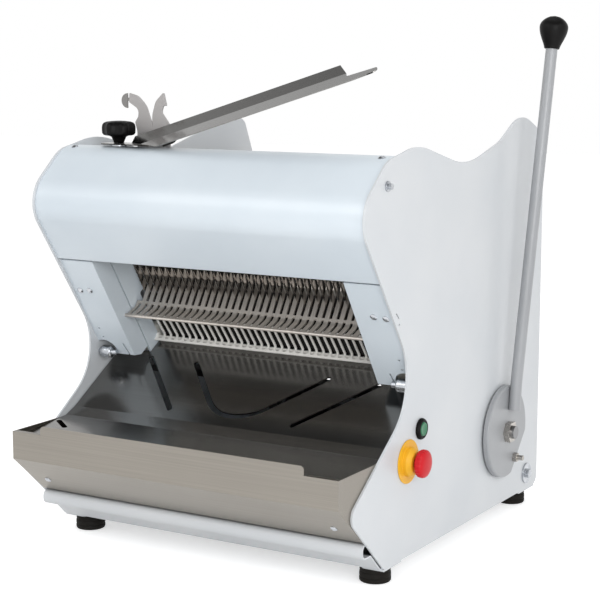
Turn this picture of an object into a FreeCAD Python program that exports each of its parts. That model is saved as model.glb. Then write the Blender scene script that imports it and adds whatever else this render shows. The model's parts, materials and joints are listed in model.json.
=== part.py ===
import FreeCAD
import Part
import math
import os

# Table-top bread slicer with a hand feed lever.
# Machine frame in millimetres: +X to the operator's right, +Y to the back, +Z up.
# The machine is drawn with Y = 0 over the front feet and Z = 0 on the table top,
# then one shift at the end puts the origin at the middle of its bounding box's base.
# A second, leaning frame serves the cutting line: b grows towards the back along the
# infeed table and u grows upwards along the blades.

Vector = FreeCAD.Vector

# ---------------------------------------------------------------- driving dimensions
overall_width = 552.0          # over the two side panels
panel_sheet = 3.0              # side panel thickness
cover_sheet = 2.0              # hood, cheeks, pan and covers
tray_sheet = 1.5               # stainless tray and fascia
base_height = 26.0             # underside of the base pan above the table
lean_angle = 33.0              # blades lean back by this much from upright

blade_pitch = 12.0
blade_count = 35
blade_depth = 12.0
blade_thickness = 0.6
blade_front = 268.0            # b of the cutting edges
frame_stroke = 30.0
channel_half = 213.0           # half width of the loaf channel

table_level = 153.0            # u of the infeed table's top
cheek_front = 202.0            # b of the cheek flanges' front face
hood_edge = 366.0              # u of the cheeks' top, just below the hood
wall_top = 240.0               # u of the loaf bay walls' top edge
wall_tail_top = 200.0          # u of their top edge at the back end
bay_back = 690.0               # b of the back end of the loaf bay
guard_front = 254.5            # b and u of the blade guard's front edge, on its upper face
guard_front_top = 166.4
guard_bend = (265.1, 168.6)    # (b, u) where its ledge turns up into bars
guard_tip = (261.0, 212.0)     # (b, u) of its upper edge
tray_end = (262.5, 157.4)      # (b, u) of the tray's upper end

lever_y = 358.0
lever_z = 143.0
lever_back_tilt = 7.0          # degrees behind upright, at rest
lever_tube_radius = 9.0
push_travel = 250.0            # pusher stroke along the table
pusher_pin_b = 588.0           # pusher pin at rest
pusher_pin_u = 197.0
arm_back_tilt = 4.5            # feed arms behind upright, at rest
roller_spacing = 38.0          # between the two rollers of each side

crank_b = 274.0
crank_u = -10.0
crank_pulley_radius = 65.0
motor_y = 428.0
motor_z = 118.0
motor_radius = 54.0
motor_pulley_radius = 26.0

foot_x = 248.7
foot_front_y = 0.0
foot_back_y = 466.0
foot_radius = 22.5

comb_pivot_b = 220.0
comb_pivot_u = 247.0
comb_rod_radius = 2.5

shovel_x = -193.0              # knob axis of the bagging shovel
shovel_y = 14.0
shovel_base_z = 589.5
shovel_rise = 16.8             # degrees
shovel_length = 400.0
shovel_near_edge = (-30.0, -25.0)   # its cross section: offsets across and above its axis
shovel_fold = (-2.0, -10.5)
shovel_far_edge = (19.3, 6.1)
knob_radius = 25.0             # over the lobes of the shovel's star knob
knob_lift = 12.5               # underside of the knob's head above the shovel's base
plate_gap = 0.3                # between the swivelling shovel, its spacer and its knob

stop_y = 42.0                  # emergency stop on the right panel
stop_z = 163.0
start_y = 80.0                 # start button on the right panel
start_z = 202.0

running_gap = 0.05             # radial clearance of pins and rods in their bores
link_gap = 0.5                 # axial clearance at an opened linkage pivot

panel_outer = overall_width / 2
panel_inner = panel_outer - panel_sheet
pan_floor = base_height + cover_sheet
cos_lean = math.cos(math.radians(lean_angle))
sin_lean = math.sin(math.radians(lean_angle))
half_stroke = frame_stroke / 2

parts = {}


# ---------------------------------------------------------------- drawing helpers
def lean(b, u):
    """Machine-frame (y, z) of a point of the leaning frame."""
    return b * cos_lean - u * sin_lean, b * sin_lean + u * cos_lean


def lean_corners(corners):
    """The same corners (b, u, radius) as (y, z, radius)."""
    return [lean(corner[0], corner[1]) + (corner[2],) for corner in corners]


crank_y, crank_z = lean(crank_b, crank_u)
comb_pivot_y, comb_pivot_z = lean(comb_pivot_b, comb_pivot_u)


def point_yz(corner, x):
    return Vector(x, corner[0], corner[1])


def point_xy(corner, z):
    return Vector(corner[0], corner[1], z)


def point_xz(corner, y):
    return Vector(corner[0], y, corner[1])


def rounded_edges(corners, level, place, closed):
    """Edges of an outline whose corners (p, q, radius) are rounded by tangent arcs."""
    count = len(corners)
    spans = []
    for index, corner in enumerate(corners):
        here = place(corner, level)
        radius = corner[2]
        open_end = not closed and index in (0, count - 1)
        if radius <= 0 or open_end:
            spans.append((here, None, here))
            continue
        before = (place(corners[index - 1], level) - here).normalize()
        after = (place(corners[(index + 1) % count], level) - here).normalize()
        half_angle = before.getAngle(after) / 2
        run = radius / math.tan(half_angle)
        middle = (before + after).normalize()
        reach = radius / math.sin(half_angle) - radius
        spans.append((here + before * run, here + middle * reach, here + after * run))
    edges = []
    last = count if closed else count - 1
    for index in range(count):
        start, middle, end = spans[index]
        if middle is not None:
            edges.append(Part.Arc(start, middle, end).toShape())
        if index < last:
            following = spans[(index + 1) % count][0]
            if end.distanceToPoint(following) > 1e-6:
                edges.append(Part.LineSegment(end, following).toShape())
    return edges


def outline_face(corners, level, place):
    return Part.Face(Part.Wire(rounded_edges(corners, level, place, True)))


def prism_yz(corners, x0, x1):
    """A plate standing across the machine: outline in (y, z), thickness along X."""
    return outline_face(corners, x0, point_yz).extrude(Vector(x1 - x0, 0, 0))


def prism_bu(corners, x0, x1):
    """A plate across the machine with its outline in the leaning frame."""
    return prism_yz(lean_corners(corners), x0, x1)


def prism_xy(corners, z0, z1):
    return outline_face(corners, z0, point_xy).extrude(Vector(0, 0, z1 - z0))


def prism_xz(corners, y0, y1):
    return outline_face(corners, y0, point_xz).extrude(Vector(0, y1 - y0, 0))


def rectangle(p0, p1, q0, q1, radius=0.0):
    return [(p0, q0, radius), (p1, q0, radius), (p1, q1, radius), (p0, q1, radius)]


def block_bu(b0, b1, u0, u1, x0, x1):
    return prism_bu(rectangle(b0, b1, u0, u1), x0, x1)


def plate_xu(corners, b0, b1):
    """A plate facing along the infeed direction, its outline in (x, u)."""
    face = outline_face(corners, b0, lambda corner, b: Vector(corner[0], *lean(b, corner[1])))
    return face.extrude(Vector(0, cos_lean, sin_lean) * (b1 - b0))


def block(x0, x1, y0, y1, z0, z1):
    return Part.makeBox(x1 - x0, y1 - y0, z1 - z0, Vector(x0, y0, z0))


def rod_x(y, z, radius, x0, x1):
    return Part.makeCylinder(radius, abs(x1 - x0), Vector(min(x0, x1), y, z), Vector(1, 0, 0))


def rod_z(x, y, radius, z0, z1):
    return Part.makeCylinder(radius, z1 - z0, Vector(x, y, z0))


def rod_u(x, b, radius, u0, u1):
    y, z = lean(b, u0)
    return Part.makeCylinder(radius, u1 - u0, Vector(x, y, z), Vector(0, -sin_lean, cos_lean))


def rod_along(start, end, radius):
    return Part.makeCylinder(radius, (end - start).Length, start, end - start)


def hex_x(y, z, across, x0, x1):
    """A hexagon nut or head, its axis along X."""
    reach = across / math.sqrt(3.0)
    corners = []
    for step in range(6):
        angle = math.radians(60 * step)
        corners.append((y + reach * math.cos(angle), z + reach * math.sin(angle), 0))
    return prism_yz(corners, min(x0, x1), max(x0, x1))


def revolved_x(profile, y, z):
    """A turned piece about an X axis: profile of (x, radius, corner radius)."""
    face = outline_face(profile, 0.0, lambda corner, level: Vector(corner[0], corner[1], level))
    solid = face.revolve(Vector(0, 0, 0), Vector(1, 0, 0), 360)
    solid.translate(Vector(0, y, z))
    return solid


def shifted_corners(corners, distance):
    """An open outline moved to its left by distance, with the bend radii to match."""
    moved = []
    last = len(corners) - 1
    for index, (p, q, radius) in enumerate(corners):
        normals = []
        for first, second in ((index - 1, index), (index, index + 1)):
            if first < 0 or second > last:
                continue
            dp = corners[second][0] - corners[first][0]
            dq = corners[second][1] - corners[first][1]
            length = math.hypot(dp, dq)
            normals.append((-dq / length, dp / length))
        if len(normals) == 1:
            moved.append((p + normals[0][0] * distance, q + normals[0][1] * distance, 0))
            continue
        (n0p, n0q), (n1p, n1q) = normals
        scale = distance / (1 + n0p * n1p + n0q * n1q)
        turn = n0p * n1q - n0q * n1p
        new_radius = radius - distance if turn > 0 else radius + distance
        moved.append((p + (n0p + n1p) * scale, q + (n0q + n1q) * scale, max(new_radius, 0)))
    return moved


def bent_sheet(corners, thickness, x0, x1):
    """A folded sheet: open outline in (y, z), its thickness laid to the outline's left."""
    back = shifted_corners(corners, thickness)
    edges = rounded_edges(corners, x0, point_yz, False)
    far_edges = rounded_edges(back, x0, point_yz, False)
    start, end = point_yz(corners[0], x0), point_yz(corners[-1], x0)
    far_start, far_end = point_yz(back[0], x0), point_yz(back[-1], x0)
    closing = [Part.LineSegment(end, far_end).toShape(), Part.LineSegment(far_start, start).toShape()]
    wire = Part.Wire(Part.__sortEdges__(edges + far_edges + closing))
    return Part.Face(wire).extrude(Vector(x1 - x0, 0, 0))


def fused(shapes):
    """One solid from touching pieces of the same part."""
    whole = shapes[0]
    if len(shapes) > 1:
        whole = shapes[0].multiFuse(shapes[1:]).removeSplitter()
    return whole


def group(shapes):
    """Several separate solids in one node."""
    return Part.makeCompound(shapes)


def both_sides(make):
    """The left and right copies of a piece, from a function of the side's sign."""
    return [make(-1), make(1)]


def side_span(side, inner, outer):
    """X limits, in rising order, of a stretch from inner to outer on one side."""
    return min(side * inner, side * outer), max(side * inner, side * outer)


# ---------------------------------------------------------------- base and feet
pan_back = 500.0
foot_bracket_sheet = 3.0


def build_base():
    """Folded base pan with a rolled front edge, corner brackets and rubber feet."""
    pan_profile = [
        (-62, 74, 0), (-82, 74, 9), (-82, 53, 9), (-59, 53, 3),
        (-31, base_height, 5), (pan_back, base_height, 4), (pan_back, 58, 0),
    ]
    pan = bent_sheet(pan_profile, cover_sheet, -panel_inner, panel_inner)
    holes = []
    for x in (-foot_x, foot_x):
        for y in (foot_front_y, foot_back_y):
            holes.append(rod_z(x, y, 4.2, 20, 40))
    parts["base_pan"] = pan.cut(group(holes))

    brackets = []
    feet = []
    bracket_bottom = base_height - foot_bracket_sheet
    for side in (-1, 1):
        for y, toe in ((foot_front_y, -26), (foot_back_y, 30)):
            inner, outer = side * 226, side * panel_outer
            heel = -toe
            plate = prism_xy(
                [(outer, y + toe, 0), (side * 240, y + toe, 8), (inner, y + heel, 3), (outer, y + heel, 0)],
                bracket_bottom, base_height)
            brackets.append(plate.cut(rod_z(side * foot_x, y, 4.2, 20, 40)))
            body = Part.makeCone(foot_radius, foot_radius - 1.5, bracket_bottom, Vector(side * foot_x, y, 0))
            stud = rod_z(side * foot_x, y, 4.0, bracket_bottom, 36)
            nut = rod_z(side * foot_x, y, 8.0, pan_floor, pan_floor + 6)
            feet.append(fused([body, stud, nut]))
    parts["foot_brackets"] = group(brackets)
    parts["rubber_feet"] = group(feet)


# ---------------------------------------------------------------- side panels and frames
side_outline = [
    (-25.5, base_height, 6), (-125.7, 120.5, 18), (71.6, 260.6, 85), (-104.0, 513.8, 50),
    (-25.3, 581.9, 60), (64.0, 600.0, 150), (220.7, 561.7, 200), (336.0, 591.0, 100),
    (414.5, 632.7, 80), (481.0, 606.4, 20), (507.0, 549.4, 30), (507.0, base_height, 15),
]
hood_bar = (-25.0, 549.0)
back_bar = (462.0, 52.0)
tie_bar_radius = 7.0
drawer_y0, drawer_y1 = 16.0, 186.0
drawer_top = 62.0


def build_side_panels():
    """Two shaped side panels, with the holes that each side needs."""
    left = prism_yz(side_outline, -panel_outer, -panel_inner)
    right = prism_yz(side_outline, panel_inner, panel_outer)
    for y, z in (hood_bar, back_bar):
        left = left.cut(rod_x(y, z, 4.2, -panel_outer - 1, -panel_inner + 1))
        right = right.cut(rod_x(y, z, 4.2, panel_inner - 1, panel_outer + 1))
    drawer_mouth = prism_yz(
        rectangle(drawer_y0 - 2, drawer_y1 + 2, pan_floor, drawer_top + 2, 3), -panel_outer - 1, -panel_inner + 1)
    parts["side_panel_left"] = left.cut(drawer_mouth)
    right_holes = [
        rod_x(lever_y, lever_z, bush_outer, panel_inner - 1, panel_outer + 1),
        rod_x(start_y, start_z, 11.2, panel_inner - 1, panel_outer + 1),
        rod_x(stop_y, stop_z, 11.2, panel_inner - 1, panel_outer + 1),
        rod_x(12.7, 359.3, 1.8, panel_inner - 1, panel_outer + 1),
        prism_yz([(3.4, 374.9, 0), (5.0, 376.5, 0), (12.5, 368.6, 0), (10.9, 367.0, 0)],
                 panel_inner - 1, panel_outer + 1),
    ]
    parts["side_panel_right"] = right.cut(group(right_holes))


shaft_radius = 10.0
bush_outer = 14.0
frame_sheet = 4.0
post_radius = 6.0
guide_bores = (256.0, 292.0)    # b of the front and rear frames' posts


def build_inner_frames():
    """Leaning side frames that carry the blade guides and the lever shaft, and the tie bars."""
    upper_edge = [(238, 376, 10), (284, 376, 10), (284, 262, 4), (312, 236, 6), (312, 60, 20)]
    outline = lean_corners(upper_edge) + [
        (396, 206, 20), (396, pan_floor, 0), (232, pan_floor, 0), lean(238, 40) + (20,),
    ]
    bar_window = rectangle(244, 304, 82, 134, 6)
    blade_window = rectangle(267.5, 281, 134, 252, 3)
    for name, side in (("inner_frame_left", -1), ("inner_frame_right", 1)):
        x0, x1 = side_span(side, channel_half, channel_half + frame_sheet)
        plate = prism_yz(outline, x0, x1)
        foot_x0, foot_x1 = side_span(side, channel_half, channel_half + 24)
        foot = block(foot_x0, foot_x1, 240, 388, pan_floor, pan_floor + frame_sheet)
        openings = [
            prism_bu(bar_window, x0 - 1, x1 + 1),
            prism_bu(blade_window, x0 - 1, x1 + 1),
            rod_x(lever_y, lever_z, bush_outer, x0 - 1, x1 + 1),
        ]
        parts[name] = fused([plate, foot]).cut(group(openings))

    shank_end = panel_inner - 20
    bars = []
    for y, z in (hood_bar, back_bar):
        bar = rod_x(y, z, tie_bar_radius, -panel_inner, panel_inner)
        taps = [rod_x(y, z, 4.0, side * shank_end, side * (panel_inner + 1)) for side in (-1, 1)]
        bars.append(bar.cut(group(taps)))
    parts["tie_bars"] = group(bars)

    bolts = []
    for y, z in (hood_bar, back_bar):
        for side in (-1, 1):
            washer_radius = 16.5 if z < 100 else 7.0
            washer = rod_x(y, z, washer_radius, side * panel_outer, side * (panel_outer + 2.5))
            head = hex_x(y, z, 13.0 if z < 100 else 8.0, side * (panel_outer + 2.5), side * (panel_outer + 7.5))
            shank = rod_x(y, z, 4.0 - running_gap, side * (shank_end + 1), side * (panel_outer + 2))
            bolts.append(fused([washer, head, shank]))
    parts["panel_bolts"] = group(bolts)


# ---------------------------------------------------------------- covers
hood_profile = [
    (-26.0, 421.5, 0), (-34.5, 419.0, 3), (-99.5, 513.5, 47), (-9.8, 591.3, 60),
    (64.0, 578.2, 8), (64.0, 484.0, 3), (52.0, 484.0, 0),
]


def build_hood():
    """Bent hood over the upper blade bars, open below."""
    hood = bent_sheet(list(reversed(hood_profile)), cover_sheet, -panel_inner, panel_inner)
    stud_hole = rod_z(shovel_x, shovel_y, 4.2, 570, 600)
    parts["hood"] = hood.cut(stud_hole)


cheek_low = 180.0               # u of the cheek flanges' lower edge
tray_bolt_x = 262.0
tray_bolt_u = 188.0
cheek_slit_tops = {-1: -226.5, 1: 238.0}   # X of the slanting slit's upper end on each side


def build_cheeks():
    """Folded cheek covers either side of the cutting opening."""
    front, back = cheek_front - 1, cheek_front + cover_sheet + 1
    axis = Vector(0, cos_lean, sin_lean)
    for name, side in (("cheek_left", -1), ("cheek_right", 1)):
        flange_x0, flange_x1 = side_span(side, channel_half, panel_inner)
        return_x0, return_x1 = side_span(side, channel_half, channel_half + cover_sheet)
        flange = block_bu(cheek_front, cheek_front + cover_sheet, cheek_low, hood_edge, flange_x0, flange_x1)
        side_return = prism_bu(
            [(cheek_front, cheek_low, 0), (216, 170, 4), (235.5, 170, 0), (235.5, hood_edge, 0),
             (cheek_front, hood_edge, 0)], return_x0, return_x1)
        slit_top = cheek_slit_tops[side]
        slit_foot = slit_top + 4
        cuts = [
            rod_x(comb_pivot_y, comb_pivot_z, comb_rod_radius + running_gap, return_x0 - 1, return_x1 + 1),
            plate_xu([(slit_top - 1.5, 203, 1), (slit_top + 1.5, 203, 1), (slit_foot + 1.5, cheek_low - 3, 0),
                      (slit_foot - 1.5, cheek_low - 3, 0)], front, back),
        ]
        for x, u, radius in ((tray_bolt_x, tray_bolt_u, 18.5), (260, 230.5, 1.9), (260, 212.5, 1.9)):
            start = Vector(side * x, *lean(front, u))
            cuts.append(Part.makeCylinder(radius, back - front, start, axis))
        parts[name] = fused([flange, side_return]).cut(fused(cuts))


def build_loaf_bay():
    """Infeed table, the slotted bay walls beside it and the back cover."""
    half = channel_half
    table = block_bu(283, bay_back, table_level - 3, table_level, -half, half)
    upstand = block_bu(bay_back - 3, bay_back, table_level, table_level + 46, -half, half)
    stiffeners = [block_bu(330, 645, table_level - 18, table_level - 3, x - 1.5, x + 1.5) for x in (-120, 120)]
    parts["infeed_table"] = fused([table, upstand] + stiffeners)

    wall_outline = [
        (312, table_level - 7, 0), (bay_back, table_level - 7, 0), (bay_back, wall_tail_top, 4),
        (640, wall_top, 30), (312, wall_top, 0),
    ]
    slot_end = pusher_pin_b + roller_spacing + 9
    slot_start = pusher_pin_b - push_travel - 9
    slot = rectangle(slot_start, slot_end, pusher_pin_u - 7, pusher_pin_u + 7, 6.9)
    for name, side in (("bay_wall_left", -1), ("bay_wall_right", 1)):
        wall_x0, wall_x1 = side_span(side, channel_half, channel_half + cover_sheet)
        flange_x0, flange_x1 = side_span(side, channel_half, panel_inner)
        wall = prism_bu(wall_outline, wall_x0, wall_x1)
        lug = block_bu(bay_back - cover_sheet, bay_back, table_level + 7, wall_tail_top - 5, flange_x0, flange_x1)
        parts[name] = fused([wall, lug]).cut(prism_bu(slot, wall_x0 - 1, wall_x1 + 1))

    cover_top = lean(bay_back, table_level - 8)
    flange_end = lean(bay_back - 38, table_level - 8)
    profile = [(503, 30, 0), (503, cover_top[1] + 2.6, 4), flange_end + (0,)]
    cover = bent_sheet(profile, cover_sheet, -panel_inner, panel_inner)
    louvres = []
    for column in (-150, 0, 150):
        for row in range(7):
            z = 90 + 16 * row
            louvres.append(prism_xz(rectangle(column - 45, column + 45, z, z + 6, 2.9), 499, 505))
    gland_hole = Part.makeCylinder(10.0, 6, Vector(-200, 499, 76), Vector(0, 1, 0))
    parts["rear_cover"] = cover.cut(group(louvres)).cut(gland_hole)


# ---------------------------------------------------------------- outfeed side
tray_top = lean(*tray_end)
tray_bend = (-4.0, 189.0)
fascia_front = -147.0
fascia_low = (-147.0, 137.0)
fascia_back = (-80.0, 77.5)
lip_half = 221.0
skirt_low = 132.0              # u of the guard's skirt, clear of the blade frame at its highest
guard_sheet = 2.0
guard_bar_half = 1.6           # half width of the guard's bars
guard_slot_front = 257.4       # b where the slots between them begin
guard_slot_top = 207.5         # u where they end
tray_slot_width = 8.0


def slot_tool(line):
    """An upright cutter for a slot of the tray: a strip of even width along the open line
    of corners (x, y, bend radius), with round ends."""
    half_width = tray_slot_width / 2
    left = shifted_corners(line, half_width)
    right = shifted_corners(line, -half_width)
    edges = rounded_edges(left, 150, point_xy, False) + rounded_edges(right, 150, point_xy, False)
    edges.append(Part.LineSegment(point_xy(left[0], 150), point_xy(right[0], 150)).toShape())
    edges.append(Part.LineSegment(point_xy(left[-1], 150), point_xy(right[-1], 150)).toShape())
    strip = Part.Face(Part.Wire(Part.__sortEdges__(edges))).extrude(Vector(0, 0, 140))
    ends = [rod_z(corner[0], corner[1], half_width, 150, 290) for corner in (line[0], line[-1])]
    return fused([strip] + ends)


def build_outfeed():
    """Stainless tray, front fascia and the bolts beside the cheeks."""
    half = panel_inner - tray_sheet
    profile = [
        tray_top + (0,), tray_bend + (8,), (-26, 179.5, 6), (-62, 176, 6),
        (-143.9, 168, 3), (-143.9, 176, 0),
    ]
    tray = bent_sheet(profile, tray_sheet, -half, half)
    clear_y = lean(235.0, tray_end[1])[0]
    corners = []
    for side in (-1, 1):
        x0, x1 = side_span(side, channel_half - 1, half + 1)
        corners.append(block(x0, x1, clear_y, 160, 200, 300))
    tray = tray.cut(group(corners))
    slot_lines = [
        [(-202, 99.3, 0), (-107, 13.7, 0)],
        [(107, 13.7, 0), (202, 99.3, 0)],
        [(-116.7, 98.9, 0), (0, -12.4, 72), (116.7, 98.9, 0)],
        [(-262, -55, 0), (-234, -76, 0)],
    ]
    for line in slot_lines:
        tray = tray.cut(slot_tool(line))
    parts["outfeed_tray"] = tray

    wall_back = fascia_front + tray_sheet
    wall = prism_xz(
        [(-panel_inner, 137, 0), (panel_inner, 137, 0), (panel_inner, 178, 0), (lip_half, 178, 0),
         (lip_half, 191, 6), (-lip_half, 191, 6), (-lip_half, 178, 0), (-panel_inner, 178, 0)],
        fascia_front, wall_back)
    facet = bent_sheet(
        [fascia_low + (0,), fascia_back + (3,), (-66, 77.5, 0)], tray_sheet, -panel_inner, panel_inner)
    hems = []
    for side in (-1, 1):
        x0, x1 = side_span(side, lip_half + 3, half)
        hems.append(block(x0, x1, wall_back, wall_back + 7, 176.5, 178))
    sides = []
    for side in (-1, 1):
        x0, x1 = side_span(side, half, panel_inner)
        sides.append(prism_yz(
            [(fascia_front, 137, 0), fascia_back + (0,), (-66, 77.5, 0), (-20, 120, 10), (-20, 178, 0),
             (fascia_front, 178, 0)], x0, x1))
    parts["front_fascia"] = fused([wall, facet] + hems + sides)

    bolt_y, bolt_z = lean(cheek_front - 6, tray_bolt_u)
    bolt = revolved_x(
        [(240, 0, 0), (240, 4.5, 1), (248, 4.5, 0), (248, 9.5, 4), (266, 9.5, 1), (266, 4.5, 0),
         (panel_inner, 4.5, 0), (panel_inner, 0, 0)], bolt_y, bolt_z)
    parts["tray_bolts"] = group([bolt, bolt.mirror(Vector(0, 0, 0), Vector(1, 0, 0))])


def build_guard():
    """Slotted guard in front of the blades: a ledge under them that turns up into thin bars."""
    profile = lean_corners([guard_tip + (0,), guard_bend + (3,), (guard_front, guard_front_top, 0)])
    sheet = bent_sheet(profile, guard_sheet, -channel_half, channel_half)
    slot_half = blade_pitch / 2 - guard_bar_half
    behind = blade_front + 4
    low = guard_front_top - 6
    cuts = []
    for index in range(blade_count):
        x = blade_pitch * (index - (blade_count - 1) / 2)
        x0, x1, top = x - slot_half, x + slot_half, guard_slot_top
        if index == 0:
            x0, top = -channel_half - 1, guard_tip[1] + 2
        if index == blade_count - 1:
            x1, top = channel_half + 1, guard_tip[1] + 2
        window = [(x0, guard_bend[1] + 2, 0), (x1, guard_bend[1] + 2, 0), (x1, top, 1.8), (x0, top, 1.8)]
        foot_b = guard_slot_front + slot_half
        cuts.append(plate_xu(window, guard_front, behind))
        cuts.append(block_bu(foot_b, behind, low, guard_bend[1] + 4, x - slot_half, x + slot_half))
        cuts.append(rod_u(x, foot_b, slot_half, low, guard_bend[1] + 1))
    for cut in cuts:
        sheet = sheet.cut(cut)
    skirt_top = guard_bend[1] - guard_sheet - 0.2
    skirt = block_bu(tray_end[0] + 0.5, tray_end[0] + 2.5, skirt_low, skirt_top, -channel_half, channel_half)
    parts["outfeed_comb"] = fused([sheet, skirt])


def build_cover_screws():
    """Domed screws of the cheeks, the fascia and the hood."""
    screws = []
    forward = Vector(0, -cos_lean, -sin_lean)
    hood_core = prism_yz(hood_profile, -300, 300)
    hood_y, ridge_y, ridge_z, ridge_radius = -8.0, 7.92, 527.2, 60.0
    hood_out = Vector(0, hood_y - ridge_y, math.sqrt(ridge_radius ** 2 - (hood_y - ridge_y) ** 2)).normalize()
    for side in (-1, 1):
        for x, u in ((side * 243, 308.5), (side * 261.5, 307)):
            screws.append(domed_screw(Vector(x, *lean(cheek_front, u)), forward))
        run = Vector(0, fascia_back[0] - fascia_low[0], fascia_back[1] - fascia_low[1])
        spot = Vector(side * 243, fascia_low[0], fascia_low[1]) + run * 0.62
        screws.append(domed_screw(spot, Vector(0, run.z, -run.y)))
        spot = Vector(side * 258.3, ridge_y, ridge_z) + hood_out * (ridge_radius - 0.3)
        screws.append(domed_screw(spot, hood_out).cut(hood_core))
    parts["cover_screws"] = group(screws)


def domed_screw(spot, outward, radius=5.0, rim=0.9, crown=2.0):
    """A low domed head standing on a face: a turned disc under part of a ball."""
    top = rim + crown
    ball_radius = (radius ** 2 + crown ** 2) / (2 * crown)
    half_angle = math.asin(radius / ball_radius) / 2
    on_dome = Vector(ball_radius * math.sin(half_angle), 0, top - ball_radius * (1 - math.cos(half_angle)))
    foot, heel, shoulder, crest = Vector(0, 0, 0), Vector(radius, 0, 0), Vector(radius, 0, rim), Vector(0, 0, top)
    edges = [
        Part.LineSegment(foot, heel).toShape(),
        Part.LineSegment(heel, shoulder).toShape(),
        Part.Arc(shoulder, on_dome, crest).toShape(),
        Part.LineSegment(crest, foot).toShape(),
    ]
    head = Part.Face(Part.Wire(edges)).revolve(Vector(0, 0, 0), Vector(0, 0, 1), 360)
    head.Placement = FreeCAD.Placement(spot, FreeCAD.Rotation(Vector(0, 0, 1), outward))
    return head


# ---------------------------------------------------------------- blades and their drive
bar_half = 240.0
blade_low, blade_high = 104.0, 408.0


def blade(x, tab_b):
    """One straight blade with a hooked tab at each end, reaching to its frame's bars."""
    back = blade_front + blade_depth
    x0, x1 = x - blade_thickness / 2, x + blade_thickness / 2
    strip = block_bu(blade_front, back, blade_low, blade_high, x0, x1)
    tab_start, tab_end = (tab_b, blade_front) if tab_b < blade_front else (back, tab_b)
    low_tab = block_bu(tab_start, tab_end, blade_low, blade_low + 8, x0, x1)
    high_tab = block_bu(tab_start, tab_end, blade_high - 8, blade_high, x0, x1)
    return fused([strip, low_tab, high_tab])


def blade_frame(post_b):
    """Upper and lower bars joined by two round posts."""
    pieces = []
    for u0 in (100.0, 398.0):
        pieces.append(block_bu(post_b - 6, post_b + 6, u0, u0 + 14, -bar_half, bar_half))
    for x in (-230, 230):
        pieces.append(rod_u(x, post_b, post_radius, 107, 405))
    return pieces


def con_rod(side, crank_pin_b, wrist_b):
    """Connecting rod hung from the lower bar, its big end beside the crank pin."""
    x0, x1 = side_span(side, crank_pin_end + link_gap, crank_pin_end + link_gap + 8)
    big_y, big_z = lean(crank_pin_b, crank_u)
    small_y, small_z = lean(wrist_b, 88)
    axis = Vector(0, small_y - big_y, small_z - big_z)
    across = Vector(0, -axis.z, axis.y).normalize() * 6
    big, small = Vector(x0, big_y, big_z), Vector(x0, small_y, small_z)
    shank = Part.Face(Part.makePolygon([big + across, small + across, small - across, big - across, big + across]))
    body = fused([
        shank.extrude(Vector(x1 - x0, 0, 0)),
        rod_x(big_y, big_z, 12, x0, x1),
        rod_x(small_y, small_z, 9, x0, x1),
    ])
    return body.cut(rod_x(big_y, big_z, 6.2, x0 - 1, x1 + 1)).cut(rod_x(small_y, small_z, 5, x0 - 1, x1 + 1))


def clevis(side, wrist_b):
    """Two ears and the wrist pin that hang the connecting rod from the lower bar."""
    rod_x0 = crank_pin_end + link_gap
    rod_x1 = rod_x0 + 8
    wrist_y, wrist_z = lean(wrist_b, 88)
    ears = []
    for near, far in ((rod_x0 - 4.5, rod_x0 - 0.5), (rod_x1 + 0.5, rod_x1 + 4.5)):
        x0, x1 = side_span(side, near, far)
        ears.append(block_bu(wrist_b - 6, wrist_b + 6, 80, 100, x0, x1))
    x0, x1 = side_span(side, rod_x0 - 6, rod_x1 + 6)
    ears.append(rod_x(wrist_y, wrist_z, 5, x0, x1))
    return ears


crank_disc_face = 54.0
crank_pin_end = 60.0


def build_blade_drive():
    """Two counter-moving blade frames, their guides, rods, crankshaft, motor and belt."""
    front_b, rear_b = guide_bores
    first_blade = -blade_pitch * (blade_count - 1) / 2
    front_set = []
    rear_set = []
    for index in range(blade_count):
        x = first_blade + blade_pitch * index
        if index % 2 == 0:
            front_set.append(blade(x, front_b + 6))
        else:
            rear_set.append(blade(x, rear_b - 6))
    parts["front_blades"] = group(front_set)
    parts["rear_blades"] = group(rear_set)
    parts["front_blade_frame"] = fused(blade_frame(front_b) + clevis(1, front_b))
    parts["rear_blade_frame"] = fused(blade_frame(rear_b) + clevis(-1, rear_b))
    parts["front_con_rod"] = con_rod(1, crank_b - half_stroke, front_b)
    parts["rear_con_rod"] = con_rod(-1, crank_b + half_stroke, rear_b)

    guides = []
    for side in (-1, 1):
        x0, x1 = side_span(side, channel_half + frame_sheet, 243)
        for u0 in (150, 335):
            body = block_bu(246, 302, u0, u0 + 25, x0, x1)
            bores = [rod_u(side * 230, b, post_radius + running_gap, u0 - 1, u0 + 26) for b in guide_bores]
            guides.append(body.cut(group(bores)))
    parts["frame_guides"] = group(guides)

    shaft = rod_x(crank_y, crank_z, 10, -46, 46)
    discs = [rod_x(crank_y, crank_z, 26, side * 46, side * crank_disc_face) for side in (-1, 1)]
    pins = []
    for side, pin_b in ((1, crank_b - half_stroke), (-1, crank_b + half_stroke)):
        pin_y, pin_z = lean(pin_b, crank_u)
        pins.append(rod_x(pin_y, pin_z, 6, side * crank_disc_face, side * crank_pin_end))
    parts["crankshaft"] = fused([shaft] + discs + pins)
    parts["crank_pulley"] = pulley(crank_y, crank_z, crank_pulley_radius, 10.0, 6)

    bearings = []
    for side in (-1, 1):
        x0, x1 = side_span(side, 26, 40)
        pedestal = prism_yz(
            [(crank_y - 40, pan_floor, 0), (crank_y + 40, pan_floor, 0), (crank_y + 40, pan_floor + 8, 3),
             (crank_y + 18, pan_floor + 20, 8), (crank_y + 22, crank_z + 22, 20), (crank_y - 22, crank_z + 22, 20),
             (crank_y - 18, pan_floor + 20, 8), (crank_y - 40, pan_floor + 8, 3)], x0, x1)
        bearings.append(pedestal.cut(rod_x(crank_y, crank_z, 10 + running_gap, x0 - 1, x1 + 1)))
    parts["crank_bearings"] = group(bearings)

    build_motor()


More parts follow.
